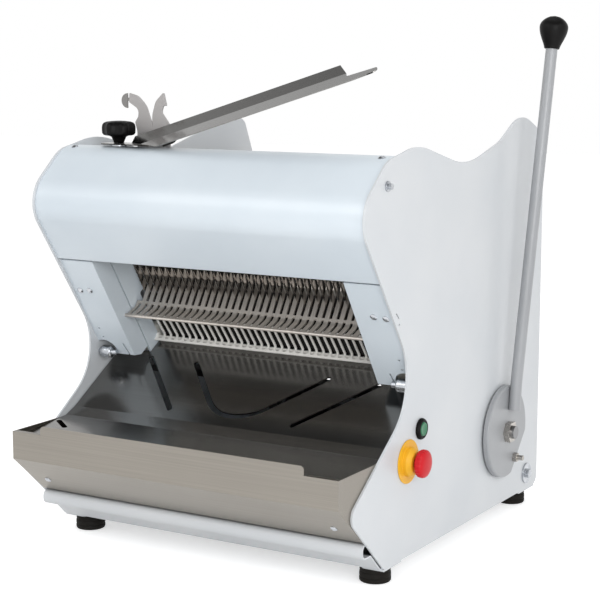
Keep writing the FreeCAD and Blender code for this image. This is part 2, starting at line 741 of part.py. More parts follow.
def pulley(y, z, radius, bore, holes):
    """Flanged belt pulley in the middle plane; holes lighten a large one."""
    profile = [
        (-11, 0, 0), (-11, radius + 5, 0), (-8.5, radius + 5, 0), (-8.5, radius, 0),
        (8.5, radius, 0), (8.5, radius + 5, 0), (11, radius + 5, 0), (11, 0, 0),
    ]
    body = revolved_x(profile, y, z)
    body = body.cut(rod_x(y, z, bore, -12, 12))
    if radius > 40:
        for step in range(holes):
            angle = 2 * math.pi * step / holes
            reach = radius * 0.58
            body = body.cut(rod_x(y + reach * math.cos(angle), z + reach * math.sin(angle), 11, -12, 12))
    return body


def build_motor():
    """Foot-mounted motor with its rotor shaft, pulley and the flat belt."""
    shell = revolved_x(
        [(34, 0, 0), (34, motor_radius - 6, 6), (48, motor_radius, 3), (182, motor_radius, 3),
         (200, motor_radius - 6, 12), (200, 0, 0)], motor_y, motor_z)
    fins = []
    for step in range(16):
        angle = 360.0 * step / 16
        if 215 < angle < 325:
            continue
        fin = block(56, 176, motor_y + motor_radius - 2, motor_y + motor_radius + 4, motor_z - 1.2, motor_z + 1.2)
        fin.rotate(Vector(0, motor_y, motor_z), Vector(1, 0, 0), angle)
        fins.append(fin)
    terminal_box = block(80, 140, motor_y - 28, motor_y + 28, motor_z + motor_radius - 10, motor_z + motor_radius + 26)
    motor = fused([shell, terminal_box] + fins)
    parts["motor"] = motor.cut(rod_x(motor_y, motor_z, 9.5 + running_gap, 33, 120))

    saddle = prism_yz(
        [(motor_y - 50, pan_floor, 0), (motor_y + 20, pan_floor, 0), (motor_y + 20, motor_z - 30, 0),
         (motor_y - 50, motor_z - 30, 0)], 60, 170)
    saddle = saddle.cut(rod_x(motor_y, motor_z, motor_radius, 50, 180))
    parts["motor_mount"] = saddle.cut(block(70, 160, motor_y - 60, motor_y + 30, pan_floor + 6, pan_floor + 16))

    parts["motor_shaft"] = rod_x(motor_y, motor_z, 9.5, -14, 118)
    parts["motor_pulley"] = pulley(motor_y, motor_z, motor_pulley_radius, 9.5, 0)

    belt_gap = 0.3
    belt_sheet = 3.0
    inner = belt_loop(crank_pulley_radius + belt_gap, motor_pulley_radius + belt_gap)
    outer = belt_loop(crank_pulley_radius + belt_gap + belt_sheet, motor_pulley_radius + belt_gap + belt_sheet)
    parts["drive_belt"] = outer.cut(inner)


def belt_loop(big_radius, small_radius):
    """Solid inside a loop round both pulleys: two arcs and their outer tangents."""
    big, small = Vector(0, crank_y, crank_z), Vector(0, motor_y, motor_z)
    span = small - big
    base = math.atan2(span.z, span.y)
    spread = math.acos((big_radius - small_radius) / span.Length)

    def rim(centre, radius, angle):
        return centre + Vector(-7.5, math.cos(angle) * radius, math.sin(angle) * radius)

    big_upper, big_lower = rim(big, big_radius, base + spread), rim(big, big_radius, base - spread)
    small_upper, small_lower = rim(small, small_radius, base + spread), rim(small, small_radius, base - spread)
    edges = [
        Part.Arc(big_upper, rim(big, big_radius, base + math.pi), big_lower).toShape(),
        Part.LineSegment(big_lower, small_lower).toShape(),
        Part.Arc(small_lower, rim(small, small_radius, base), small_upper).toShape(),
        Part.LineSegment(small_upper, big_upper).toShape(),
    ]
    return Part.Face(Part.Wire(edges)).extrude(Vector(15, 0, 0))


# ---------------------------------------------------------------- feed lever and pusher
hub_inner, hub_outer = 279.0, 288.0
lever_top_x, lever_top_z = 317.0, 729.0
arm_inner, arm_outer = 227.0, 233.0


def lever_point(x, height):
    """Point of the lever's centre line at a height above its pivot."""
    return Vector(x, lever_y + height * math.tan(math.radians(lever_back_tilt)), lever_z + height)


def build_lever():
    """Lever shaft, hub disc, tube, knob, nuts, bushes and the two feed arms."""
    parts["lever_shaft"] = rod_x(lever_y, lever_z, shaft_radius, -236, 302)

    disc = revolved_x(
        [(hub_inner, 0, 0), (hub_inner, 72, 1), (hub_outer, 72, 3), (hub_outer, 0, 0)], lever_y, lever_z)
    flat = block(hub_inner - 1, hub_outer + 1, 58, 90, -80, 80)
    flat.rotate(Vector(0, 0, 0), Vector(1, 0, 0), -42)
    flat.translate(Vector(0, lever_y, lever_z))
    bolt_y, bolt_z = lever_y + 26, lever_z - 46
    disc = disc.cut(flat).cut(rod_x(lever_y, lever_z, shaft_radius, hub_inner - 1, hub_outer + 1))
    parts["lever_hub"] = disc.cut(rod_x(bolt_y, bolt_z, 4, hub_inner - 1, hub_outer + 1))

    nut = hex_x(lever_y, lever_z, 30, hub_outer, hub_outer + 9)
    nut = nut.cut(rod_x(lever_y, lever_z, shaft_radius, hub_outer - 1, hub_outer + 10))
    stop_bolt = fused([
        rod_x(bolt_y, bolt_z, 4, hub_inner, hub_outer + 16),
        hex_x(bolt_y, bolt_z, 13, hub_outer, hub_outer + 7),
    ])
    parts["lever_nuts"] = group([nut, stop_bolt])

    foot = lever_point(hub_outer + lever_tube_radius, 34)
    elbow = lever_point(hub_outer + lever_tube_radius, 78)
    top = lever_point(lever_top_x, lever_top_z - lever_z)
    tube = fused([
        rod_along(foot, elbow, lever_tube_radius),
        Part.makeSphere(lever_tube_radius, elbow),
        rod_along(elbow, top, lever_tube_radius),
    ])
    parts["lever_tube"] = tube.cut(rod_along(elbow + (top - elbow) * 0.1, top, lever_tube_radius - 2))

    knob_axis = (top - elbow).normalize()
    knob_profile = [
        (0, 0, 0), (0, 12, 2), (16, 17, 20), (34, 23, 16), (50, 15, 12), (50, 0, 0),
    ]
    face = outline_face(knob_profile, 0.0, lambda corner, level: Vector(corner[0], corner[1], level))
    knob = face.revolve(Vector(0, 0, 0), Vector(1, 0, 0), 360)
    turn = FreeCAD.Rotation(Vector(1, 0, 0), knob_axis)
    knob.Placement = FreeCAD.Placement(top, turn)
    parts["lever_knob"] = knob

    bushes = []
    for inner, outer in ((channel_half, channel_half + frame_sheet), (-channel_half - frame_sheet, -channel_half),
                         (panel_inner, panel_outer)):
        flange_x = outer if inner > 0 else inner
        flange_span = (flange_x, flange_x + 2) if inner > 0 else (flange_x - 2, flange_x)
        sleeve = rod_x(lever_y, lever_z, bush_outer, inner, outer)
        flange = rod_x(lever_y, lever_z, 19, *flange_span)
        bore = rod_x(lever_y, lever_z, shaft_radius + running_gap, inner - 4, outer + 4)
        bushes.append(sleeve.fuse(flange).removeSplitter().cut(bore))
    parts["shaft_bushes"] = group(bushes)

    parts["feed_arms"] = group(both_sides(feed_arm))


def feed_arm(side):
    """Slotted arm on the lever shaft, drawn upright and then leaned back."""
    reach = 344.0
    x0, x1 = side_span(side, arm_inner, arm_outer)
    blade_of_arm = prism_yz(
        [(-20, -20, 19), (20, -20, 19), (15, reach + 15, 14), (-15, reach + 15, 14)], x0, x1)
    slot = prism_yz(rectangle(-6.8, 6.8, 262, reach + 6, 6.7), x0 - 1, x1 + 1)
    boss = rod_x(0, 0, 18, *side_span(side, arm_inner - 4, arm_outer + 3))
    bore = rod_x(0, 0, shaft_radius, -260, 260)
    arm = fused([blade_of_arm.cut(slot), boss]).cut(bore)
    arm.rotate(Vector(0, 0, 0), Vector(1, 0, 0), -arm_back_tilt)
    arm.translate(Vector(0, lever_y, lever_z))
    return arm


pusher_face = pusher_pin_b - 50.0


def build_pusher():
    """Crossbar with rollers in the wall slots, and the fingered pusher comb."""
    bar = block_bu(pusher_pin_b - 9, pusher_pin_b + 9, pusher_pin_u - 9, pusher_pin_u + 9,
                   -channel_half + 1, channel_half - 1)
    struts = [
        block_bu(pusher_face, pusher_pin_b - 9, pusher_pin_u - 7, pusher_pin_u + 7, x - 12, x + 12)
        for x in (-120, 120)
    ]
    pin_y, pin_z = lean(pusher_pin_b, pusher_pin_u)
    tail_y, tail_z = lean(pusher_pin_b + roller_spacing, pusher_pin_u)
    for side in (-1, 1):
        pins_end = side * (arm_inner - link_gap)
        struts.append(rod_x(pin_y, pin_z, 5, side * (channel_half - 1), pins_end))
        struts.append(rod_x(tail_y, tail_z, 5, side * (channel_half - 3), side * (channel_half + 4)))
        x0, x1 = side_span(side, channel_half - 9, channel_half - 1)
        struts.append(block_bu(pusher_pin_b, pusher_pin_b + roller_spacing + 9, pusher_pin_u - 9,
                               pusher_pin_u + 9, x0, x1))
    parts["pusher_crossbar"] = fused([bar] + struts)

    rollers = []
    for side in (-1, 1):
        x0, x1 = side_span(side, channel_half - 0.5, channel_half + cover_sheet + 1)
        for y, z in ((pin_y, pin_z), (tail_y, tail_z)):
            rollers.append(rod_x(y, z, 6.9, x0, x1).cut(rod_x(y, z, 5, x0 - 1, x1 + 1)))
    parts["pusher_rollers"] = group(rollers)

    low = table_level + 1
    plate = block_bu(pusher_face - 6, pusher_face, low, 246, -206, 206)
    finger_front = guard_bend[0] + guard_sheet + link_gap + push_travel
    fingers = []
    first_gap = -blade_pitch * (blade_count - 2) / 2
    for index in range(blade_count - 1):
        x = first_gap + blade_pitch * index
        fingers.append(prism_bu(
            [(pusher_face - 6, 163, 0), (finger_front, 163, 3), (finger_front, 232, 8),
             (pusher_face - 6, 244, 0)], x - 3.5, x + 3.5))
    parts["pusher_comb"] = fused([plate] + fingers)


# ---------------------------------------------------------------- retention comb
comb_lip = (219.0, 249.5)        # (b, u) of the lip's front edge, of the bend behind it,
finger_bend = (244.4, 243.9)     # of the knee in the fingers and of their tips, on the upper face
finger_knee = (293.0, 267.2)
finger_tip = (300.0, 278.0)
finger_half = 3.6
comb_sheet = 2.0
comb_bridge = (250.5, 253.6)     # b of the whole strip between the fingers' gaps and the lip's slots
comb_slot_half = 2.2


def build_retention_comb():
    """Comb above the outfeed that keeps the slices upright, hinged on the rod under its lip."""
    half = channel_half - 2.0
    rod = rod_x(comb_pivot_y, comb_pivot_z, comb_rod_radius, -channel_half - 5, channel_half + 5)
    climb = (finger_knee[1] - finger_bend[1]) / (finger_knee[0] - finger_bend[0])

    def on_finger(b):
        return (b, finger_bend[1] + climb * (b - finger_bend[0]))

    band = bent_sheet(
        lean_corners([on_finger(comb_bridge[1]) + (0,), finger_bend + (14,), comb_lip + (0,)]), comb_sheet, -half, half)
    for index in range(blade_count):
        x = blade_pitch * (index - (blade_count - 1) / 2)
        slot = block_bu(comb_lip[0] + 3.5, comb_bridge[0], finger_bend[1] - 6, comb_lip[1] + 4,
                        x - comb_slot_half, x + comb_slot_half)
        band = band.cut(slot)
    profile = lean_corners([finger_tip + (0,), finger_knee + (4,), on_finger(comb_bridge[0] + 1) + (0,)])
    tip_y, tip_z = lean(*finger_tip)
    tip_lean = lean_angle - math.degrees(math.atan2(finger_tip[0] - finger_knee[0], finger_tip[1] - finger_knee[1]))
    fingers = []
    for index in range(blade_count - 1):
        x = blade_pitch * (index - (blade_count - 2) / 2)
        finger = bent_sheet(profile, comb_sheet, x - finger_half, x + finger_half)
        for sign in (-1, 1):
            nick = block(0, 6, -6, 6, -14, 8)
            nick.rotate(Vector(0, 0, 0), Vector(0, 1, 0), -13)
            nick.translate(Vector(0.9, 0, 0))
            if sign < 0:
                nick = nick.mirror(Vector(0, 0, 0), Vector(1, 0, 0))
            nick.rotate(Vector(0, 0, 0), Vector(1, 0, 0), tip_lean)
            nick.translate(Vector(x, tip_y, tip_z))
            finger = finger.cut(nick)
        fingers.append(finger)
    parts["retention_comb"] = fused([rod, band] + fingers)


# ---------------------------------------------------------------- crumb drawer
drawer_left, drawer_right = -272.0, 204.0


def build_drawer():
    """Crumb drawer that pulls out through the left panel."""
    low = pan_floor + 0.4
    outer = block(drawer_left, drawer_right, drawer_y0, drawer_y1, low, drawer_top)
    hollow = block(drawer_left + 2, drawer_right - 2, drawer_y0 + 2, drawer_y1 - 2, low + 1.5, drawer_top + 1)
    neck = block(-panel_outer - 0.4, drawer_left, drawer_y0 + 4, drawer_y1 - 4, low + 2, drawer_top - 2)
    front = prism_yz(
        rectangle(drawer_y0 - 8, drawer_y1 + 8, base_height + 3, drawer_top + 8, 4), -panel_outer - 2.4, -panel_outer - 0.4)
    grip = bent_sheet(
        [(66, 40, 0), (66, 56, 4), (136, 56, 4), (136, 40, 0)], 3.0, -panel_outer - 18, -panel_outer - 2.4)
    parts["crumb_drawer"] = fused([outer.cut(hollow), neck, front, grip])


# ---------------------------------------------------------------- controls
def build_controls():
    """Start button, emergency stop, their box and the mains cable gland."""
    face = panel_outer
    bezel = revolved_x(
        [(face - 16, 0, 0), (face - 16, 11, 0), (face, 11, 0), (face, 15.2, 0), (face + 3, 15.2, 1.2),
         (face + 6, 13, 1), (face + 6, 0, 0)], start_y, start_z)
    bore = rod_x(start_y, start_z, 10 + running_gap, face - 12, face + 8)
    parts["start_bezel"] = bezel.cut(bore)
    parts["start_button"] = revolved_x(
        [(face - 6, 0, 0), (face - 6, 10, 0), (face + 6.5, 10, 1.5), (face + 6.5, 0, 0)], start_y, start_z)

    plate = rod_x(stop_y, stop_z, 31, face, face + 2)
    collar = revolved_x(
        [(face - 16, 0, 0), (face - 16, 11, 0), (face + 2, 11, 0), (face + 2, 21, 0), (face + 9, 20, 1.5),
         (face + 14, 15, 1), (face + 14, 0, 0)], stop_y, stop_z)
    stop_bore = rod_x(stop_y, stop_z, 9 + running_gap, face - 10, face + 16)
    parts["stop_base"] = fused([plate, collar]).cut(stop_bore)
    parts["stop_button"] = revolved_x(
        [(face - 4, 0, 0), (face - 4, 9, 0), (face + 19, 9, 0), (face + 19, 19.8, 2.5), (face + 30, 19.8, 7),
         (face + 32, 8, 2), (face + 32, 0, 0)], stop_y, stop_z)

    box_outline = [(4, 118, 3), (4, 186, 3), (116, 246, 3), (116, 118, 3)]
    inner_outline = [(6, 120, 1), (6, 184.8, 1), (114, 242.7, 1), (114, 120, 1)]
    box = prism_yz(box_outline, 236, panel_inner).cut(prism_yz(inner_outline, 238, panel_inner + 1))
    parts["electrical_box"] = box

    gland = Part.makeCylinder(10.0, 12, Vector(-200, 496, 76), Vector(0, 1, 0))
    nut = Part.makeCylinder(14.0, 5, Vector(-200, 503, 76), Vector(0, 1, 0))
    cap = Part.makeCone(12.5, 8.5, 15, Vector(-200, 508, 76), Vector(0, 1, 0))
    hole = Part.makeCylinder(4.0, 40, Vector(-200, 490, 76), Vector(0, 1, 0))
    parts["cable_gland"] = fused([gland, nut, cap]).cut(hole)


# ---------------------------------------------------------------- bagging shovel and horns
def build_shovel():
    """Folded bagging shovel on the hood, its clamp knob, stud and rest pad."""
    chute = bent_sheet(
        [shovel_far_edge + (0,), shovel_fold + (3,), shovel_near_edge + (0,)], tray_sheet, 18, shovel_length + 56)
    plan = prism_xy(
        [(10, -32, 0), (shovel_length, -31, 0), (shovel_length + 56, -26.5, 6), (shovel_length + 56, -14.9, 6),
         (shovel_length + 4, -11.4, 6), (shovel_length, -2, 0), (shovel_length - 22, 25, 12), (10, 25, 0)], -60, 60)
    rising = chute.common(plan)
    rising.rotate(Vector(0, 0, 0), Vector(0, 1, 0), -shovel_rise)
    rising = rising.cut(block(-50, 500, -100, 100, -80, 0.4))
    root = prism_xy(
        [(-24, -20, 14), (84, -31, 2), (36, 0, 4), (8, 20, 6), (-24, 20, 14)], 0, tray_sheet)
    head_space = rod_z(0, 0, knob_radius + 0.6, knob_lift - 0.9, 60)
    shovel = fused([rising, root]).cut(rod_z(0, 0, 4.0, -5, 5)).cut(head_space)
    shovel.translate(Vector(shovel_x, shovel_y, shovel_base_z + plate_gap))
    parts["bagging_shovel"] = shovel

    pad = prism_xy(rectangle(92, 114, 3, 24, 3), -tray_sheet - 4, -tray_sheet)
    fold_run = shovel_fold[0] - shovel_near_edge[0]
    fold_climb = shovel_fold[1] - shovel_near_edge[1]
    pad.rotate(Vector(0, 0, 0), Vector(1, 0, 0), math.degrees(math.atan2(fold_climb, fold_run)))
    pad.translate(Vector(0, *shovel_near_edge))
    pad.rotate(Vector(0, 0, 0), Vector(0, 1, 0), -shovel_rise)
    pad.translate(Vector(shovel_x, shovel_y, shovel_base_z + plate_gap))
    parts["shovel_pad"] = pad

    hood_core = prism_yz(hood_profile, -300, 300)
    spacer = rod_z(shovel_x, shovel_y, 12, shovel_base_z - 8, shovel_base_z)
    stud = rod_z(shovel_x, shovel_y, 4.0 - running_gap, 575, shovel_base_z + 16)
    parts["shovel_stud"] = fused([spacer.cut(hood_core), stud])

    knob_low = shovel_base_z + tray_sheet + 2 * plate_gap
    head_low, head_high = shovel_base_z + knob_lift, shovel_base_z + knob_lift + 22
    neck = Part.makeCone(8, 12, head_low + 1 - knob_low, Vector(shovel_x, shovel_y, knob_low))
    lobes = [rod_z(shovel_x, shovel_y, knob_radius - 3, head_low, head_high)]
    lobe_radius = 9.0
    reach = knob_radius - lobe_radius
    for step in range(6):
        angle = math.pi * step / 3
        x, y = shovel_x + reach * math.cos(angle), shovel_y + reach * math.sin(angle)
        lobes.append(rod_z(x, y, lobe_radius, head_low, head_high))
    knob = fused([neck] + lobes)
    parts["shovel_knob"] = knob.cut(rod_z(shovel_x, shovel_y, 4.0, knob_low - 1, shovel_base_z + 17))


def hood_top(y):
    """Height of the hood's sloping top at a distance y."""
    ridge, edge = hood_profile[3], hood_profile[4]
    return ridge[1] + (edge[1] - ridge[1]) * (y - ridge[0]) / (edge[0] - ridge[0])


def build_horns():
    """Two upright bag horns on a foot strip at the back of the hood."""
    y0, y1 = 50.0, 53.0
    low = hood_top(y0) - 4
    left = prism_xz(
        [(-186, low, 0), (-156, low, 0), (-157, 614, 60), (-169, 646, 30), (-184, 660, 20), (-199.7, 664, 1),
         (-200.5, 650, 2), (-183, 640, 10), (-184, 629, 6), (-190, 621, 4), (-186, 608, 20)], y0, y1)
    right = prism_xz(
        [(-154, low, 0), (-126, low, 0), (-128, 620, 8), (-141, 636, 6), (-138, 645, 2), (-132, 646, 1),
         (-137, 666, 2), (-152, 652, 20), (-159, 630, 40)], y0, y1)
    strip = block(-190, -122, y0, y1 + 12, low, hood_top(y0) + 1.5)
    hood_core = prism_yz(hood_profile, -300, 300)
    parts["bag_horns"] = fused([left, right, strip]).cut(hood_core)

    flat_x, middle_z, tip_radius = -203.5, 652.5, 11.0
    disc = Part.makeCylinder(tip_radius, y1 - y0, Vector(flat_x, y0, middle_z), Vector(0, 1, 0))
    half_disc = disc.common(block(flat_x - 12, flat_x, y0, y1, middle_z - 12, middle_z + 12))
    stalk = block(flat_x, -199, y0 + 1, y1 - 1, 652, 657)
    parts["horn_tip"] = fused([half_disc, stalk]).cut(left)


# ---------------------------------------------------------------- assembly and export
build_base()
build_side_panels()
build_inner_frames()
build_hood()
build_cheeks()
build_loaf_bay()
build_outfeed()
build_guard()
build_cover_screws()
build_blade_drive()
build_lever()
build_pusher()
build_retention_comb()
build_drawer()
build_controls()
build_shovel()
build_horns()

# The origin goes to the middle of the machine's bounding box, on the table.
machine_box = Part.makeCompound(list(parts.values())).BoundBox
frame_shift = Vector(
    -(machine_box.XMin + machine_box.XMax) / 2,
    -(machine_box.YMin + machine_box.YMax) / 2,
    -machine_box.ZMin,
)

os.makedirs("parts", exist_ok=True)
for name, shape in parts.items():
    placed = shape.copy()
    placed.translate(frame_shift)
    placed.exportStep("parts/" + name + ".step")

print("frame shift", frame_shift)
print("nodes", len(parts))
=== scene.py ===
"""Looks of a table-top bread slicer with a hand feed lever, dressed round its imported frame.

The machine frame used below is in millimetres: +X to the operator's right, +Y to the back and
+Z up, with Y = 0 over the front feet and Z = 0 on the table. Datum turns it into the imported
frame's metres. A second, leaning frame serves the cutting line: b grows towards the back along
the infeed table and u grows upwards along the blades.
"""

import json
import logging
import math
from dataclasses import dataclass
from enum import Enum
from typing import Any

import bmesh
import bpy
import numpy as np
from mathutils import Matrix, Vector

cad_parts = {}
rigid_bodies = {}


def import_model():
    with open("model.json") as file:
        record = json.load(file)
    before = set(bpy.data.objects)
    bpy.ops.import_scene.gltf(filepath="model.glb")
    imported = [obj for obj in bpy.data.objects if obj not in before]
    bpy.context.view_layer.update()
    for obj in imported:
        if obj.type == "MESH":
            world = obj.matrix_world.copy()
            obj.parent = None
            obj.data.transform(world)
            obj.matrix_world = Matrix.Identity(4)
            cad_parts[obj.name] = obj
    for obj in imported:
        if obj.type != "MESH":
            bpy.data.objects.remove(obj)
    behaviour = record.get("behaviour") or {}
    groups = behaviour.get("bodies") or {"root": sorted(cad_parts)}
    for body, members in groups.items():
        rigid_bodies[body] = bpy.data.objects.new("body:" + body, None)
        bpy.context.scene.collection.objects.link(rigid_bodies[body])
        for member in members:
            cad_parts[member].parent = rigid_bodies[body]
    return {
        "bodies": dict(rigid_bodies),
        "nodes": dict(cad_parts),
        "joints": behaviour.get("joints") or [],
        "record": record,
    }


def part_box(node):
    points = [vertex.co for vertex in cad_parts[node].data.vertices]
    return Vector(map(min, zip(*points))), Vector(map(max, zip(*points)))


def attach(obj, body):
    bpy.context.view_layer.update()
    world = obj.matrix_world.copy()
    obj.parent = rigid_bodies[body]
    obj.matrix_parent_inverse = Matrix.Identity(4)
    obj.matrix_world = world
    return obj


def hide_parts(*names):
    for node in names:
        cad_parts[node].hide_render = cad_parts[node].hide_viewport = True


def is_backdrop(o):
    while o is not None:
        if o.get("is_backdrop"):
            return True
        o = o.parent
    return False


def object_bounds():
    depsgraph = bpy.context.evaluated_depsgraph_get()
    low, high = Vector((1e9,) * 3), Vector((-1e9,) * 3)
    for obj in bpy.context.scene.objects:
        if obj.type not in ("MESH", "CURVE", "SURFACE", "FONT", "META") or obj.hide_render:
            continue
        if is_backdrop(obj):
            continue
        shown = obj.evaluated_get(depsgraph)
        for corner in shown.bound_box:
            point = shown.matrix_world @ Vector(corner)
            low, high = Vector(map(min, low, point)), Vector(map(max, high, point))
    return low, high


LOG = logging.getLogger("slicer")
MM = 0.001
LEAN = math.radians(33.0)
SPREAD = (0.3, 0.7)  # values between which nearly all of a noise lies
DRIFT_SPREAD = (0.35, 0.75)  # the same for the slow drift, which stays longer near the colour
AREA_WEIGHT = 80  # how much more a large face counts than a small one in a vertex's normal
Point = tuple[float, float, float]


class Slot(Enum):
    """Material slots of the record."""

    PANEL = "panel_paint"
    HOOD = "hood_paint"
    LEVER = "lever_paint"
    MOTOR = "motor_paint"
    SHEET = "stainless_sheet"
    POLISHED = "polished_stainless"
    BLADE = "blade_steel"
    FRAME = "frame_steel"
    ZINC = "zinc_fasteners"
    GILT = "gilt_zinc"
    BRONZE = "bush_bronze"
    IRON = "pulley_iron"
    HORN = "horn_paint"
    COMB = "comb_white"
    FINGER = "comb_steel"
    GUARD = "guard_steel"
    TABLE = "table_coat"
    TIP = "tip_grey"
    PLASTIC = "black_plastic"
    RUBBER = "black_rubber"
    YELLOW = "stop_yellow"
    RED = "stop_red"
    GREEN = "start_green"


# ------------------------------------------------------------------ materials
def linear(code: str) -> tuple[float, float, float, float]:
    """Turns an sRGB hex colour into the linear colour a shader takes.

    Args:
        code: colour as "#RRGGBB".

    Returns:
        Linear red, green and blue, and an alpha of 1.
    """
    values = [int(code[i : i + 2], 16) / 255 for i in (1, 3, 5)]
    red, green, blue = (v / 12.92 if v <= 0.04045 else ((v + 0.055) / 1.055) ** 2.4 for v in values)
    return (red, green, blue, 1.0)


def add_node(
    tree: bpy.types.NodeTree, kind: str, inputs: dict[Any, Any] | None = None, **settings: Any
) -> bpy.types.Node:
    """Adds one node with its settings, values and links.

    Args:
        tree: node tree that takes the node.
        kind: node type, such as "ShaderNodeBump".
        inputs: by socket name or number, either a value or the output socket to link from.
        settings: attributes set on the node itself.

    Returns:
        The new node.
    """
    node = tree.nodes.new(kind)
    for name, value in settings.items():
        setattr(node, name, value)
    for key, value in (inputs or {}).items():
        if isinstance(value, bpy.types.NodeSocket):
            tree.links.new(value, node.inputs[key])
        else:
            node.inputs[key].default_value = value
    return node


@dataclass(frozen=True)
class Finish:
    """A surface with a fine texture in bump and a slow drift of colour and roughness.

    Sizes are real lengths in millimetres: grain_mm is one feature of the texture along X, Y
    and Z, patch_mm one patch of the drift.
    """

    name: str
    colour: str
    shade: str
    roughness: float
    metallic: float = 0.0
    ior: float = 1.5
    specular: float = 0.5
    coat: float = 0.0
    coat_roughness: float = 0.1
    grain_mm: Point = (3.0, 3.0, 3.0)
    grain_depth_mm: float = 0.02
    patch_mm: float = 90.0
    roughness_drift: float = 0.05
    patch_detail: float = 3.0
    grain_detail: float = 2.0

    def build(self) -> bpy.types.Material:
        """Makes the material: two noises on the object's own coordinates feed one shader.

        Returns:
            The new material.
        """
        material = bpy.data.materials.new(self.name)
        material.use_nodes = True
        tree = material.node_tree
        tree.nodes.clear()
        coords = add_node(tree, "ShaderNodeTexCoord").outputs["Object"]
        fields = []
        textures = (((self.patch_mm,) * 3, self.patch_detail), (self.grain_mm, self.grain_detail))
        for size_mm, detail in textures:
            mapping = add_node(tree, "ShaderNodeMapping", {
                "Vector": coords, "Scale": tuple(1000.0 / size for size in size_mm)})
            noise = add_node(tree, "ShaderNodeTexNoise", {
                "Vector": mapping.outputs["Vector"], "Scale": 1.0, "Detail": detail})
            fields.append(noise.outputs[0])
        drift, grain = fields
        bump = add_node(tree, "ShaderNodeBump", {
            "Strength": 1.0, "Distance": self.grain_depth_mm * MM, "Height": grain})
        rough = add_node(tree, "ShaderNodeMapRange", {
            "Value": drift, "From Min": SPREAD[0], "From Max": SPREAD[1],
            "To Min": self.roughness - self.roughness_drift,
            "To Max": self.roughness + self.roughness_drift})
        shader = add_node(tree, "ShaderNodeBsdfPrincipled", {
            "Base Color": self.tint(tree, drift, grain),
            "Roughness": rough.outputs["Result"],
            "Normal": bump.outputs["Normal"],
            "Metallic": self.metallic,
            "Coat Weight": self.coat,
            "Coat Roughness": self.coat_roughness,
        })
        if self.metallic < 0.5:
            shader.inputs["IOR"].default_value = self.ior
            shader.inputs["Specular IOR Level"].default_value = self.specular
        add_node(tree, "ShaderNodeOutputMaterial", {"Surface": shader.outputs["BSDF"]})
        return material

    def tint(
        self, tree: bpy.types.NodeTree, drift: bpy.types.NodeSocket, grain: bpy.types.NodeSocket
    ) -> bpy.types.NodeSocket:
        """Base colour: the colour drifting slowly towards its shade.

        Args:
            tree: the material's nodes.
            drift: the slow noise.
            grain: the fine noise.

        Returns:
            The colour's socket.
        """
        factor = add_node(tree, "ShaderNodeMapRange", {
            "Value": drift, "From Min": DRIFT_SPREAD[0], "From Max": DRIFT_SPREAD[1]})
        mix = add_node(tree, "ShaderNodeMix", {
            0: factor.outputs["Result"], 6: linear(self.colour), 7: linear(self.shade)}, data_type="RGBA")
        return mix.outputs[2]


@dataclass(frozen=True)
class PowderCoat(Finish):
    """Baked powder on sheet steel: satin, with the shallow dimples of orange peel.

    The real dimples are about 1 mm wide. They are drawn at 4 mm, the finest that shows.
    """

    roughness: float = 0.38
    coat: float = 0.25
    coat_roughness: float = 0.18
    grain_mm: Point = (4.0, 4.0, 4.0)
    grain_depth_mm: float = 0.035
    patch_mm: float = 140.0


@dataclass(frozen=True)
class BrushedSteel(Finish):
    """Stainless sheet brushed along X: long fine scratches that stretch its reflections.

    Real brush lines are 0.1 mm apart. They are drawn 1.5 mm apart, the finest that shows.
    """

    metallic: float = 1.0
    grain_mm: Point = (220.0, 1.5, 1.5)
    grain_depth_mm: float = 0.004
    patch_mm: float = 160.0
    roughness_drift: float = 0.03

    def tint(
        self, tree: bpy.types.NodeTree, drift: bpy.types.NodeSocket, grain: bpy.types.NodeSocket
    ) -> bpy.types.NodeSocket:
        """Base colour: the brush lines carry a trace of the shade.

        Args:
            tree: the material's nodes.
            drift: the slow noise.
            grain: the fine noise.

        Returns:
            The colour's socket.
        """
        lines = add_node(tree, "ShaderNodeMapRange", {
            "Value": grain, "From Min": SPREAD[0], "From Max": SPREAD[1]})
        mix = add_node(tree, "ShaderNodeMix", {
            0: lines.outputs["Result"], 6: linear(self.colour), 7: linear(self.shade)}, data_type="RGBA")
        return mix.outputs[2]


@dataclass(frozen=True)
class BladeSteel(BrushedSteel):
    """Polished blade steel: near-mirror sides that repeat their neighbours, faintly drawn along Z.

    The real polishing lines are 0.05 mm apart. They are drawn 1.5 mm apart, the finest that shows.
    """

    roughness: float = 0.09
    grain_mm: Point = (1.5, 1.5, 60.0)
    grain_depth_mm: float = 0.001


@dataclass(frozen=True)
class LaserCutSteel(BrushedSteel):
    """Stainless sheet whose cut edges are painted near-black as shade, so its slots read black like shaded
    holes; the dark scale a laser leaves accounts for only part of it.

    A cut edge is told by its normal, which has nearly no part along Z. Any other face that
    stands upright on such a sheet gets the same painted shade.
    """

    # near-black painted on upright faces as the shade inside the slots; only part of it is the laser's scale
    oxide_and_painted_shade: str = "#1C1A18"
    upright: float = 0.06

    def tint(
        self, tree: bpy.types.NodeTree, drift: bpy.types.NodeSocket, grain: bpy.types.NodeSocket
    ) -> bpy.types.NodeSocket:
        """Base colour: the brushed colour, and near-black painted shade, only partly the laser's scale, on
        upright faces.

        Args:
            tree: the material's nodes.
            drift: the slow noise.
            grain: the fine noise.

        Returns:
            The colour's socket.
        """
        brushed = super().tint(tree, drift, grain)
        normal = add_node(tree, "ShaderNodeTexCoord").outputs["Normal"]
        height = add_node(tree, "ShaderNodeSeparateXYZ", {0: normal}).outputs["Z"]
        rise = add_node(tree, "ShaderNodeMath", {0: height}, operation="ABSOLUTE")
        # upright faces take the painted shade
        cut = add_node(tree, "ShaderNodeMath", {0: rise.outputs[0], 1: self.upright}, operation="LESS_THAN")
        mix = add_node(tree, "ShaderNodeMix", {
            0: cut.outputs[0], 6: brushed, 7: linear(self.oxide_and_painted_shade)}, data_type="RGBA")
        return mix.outputs[2]


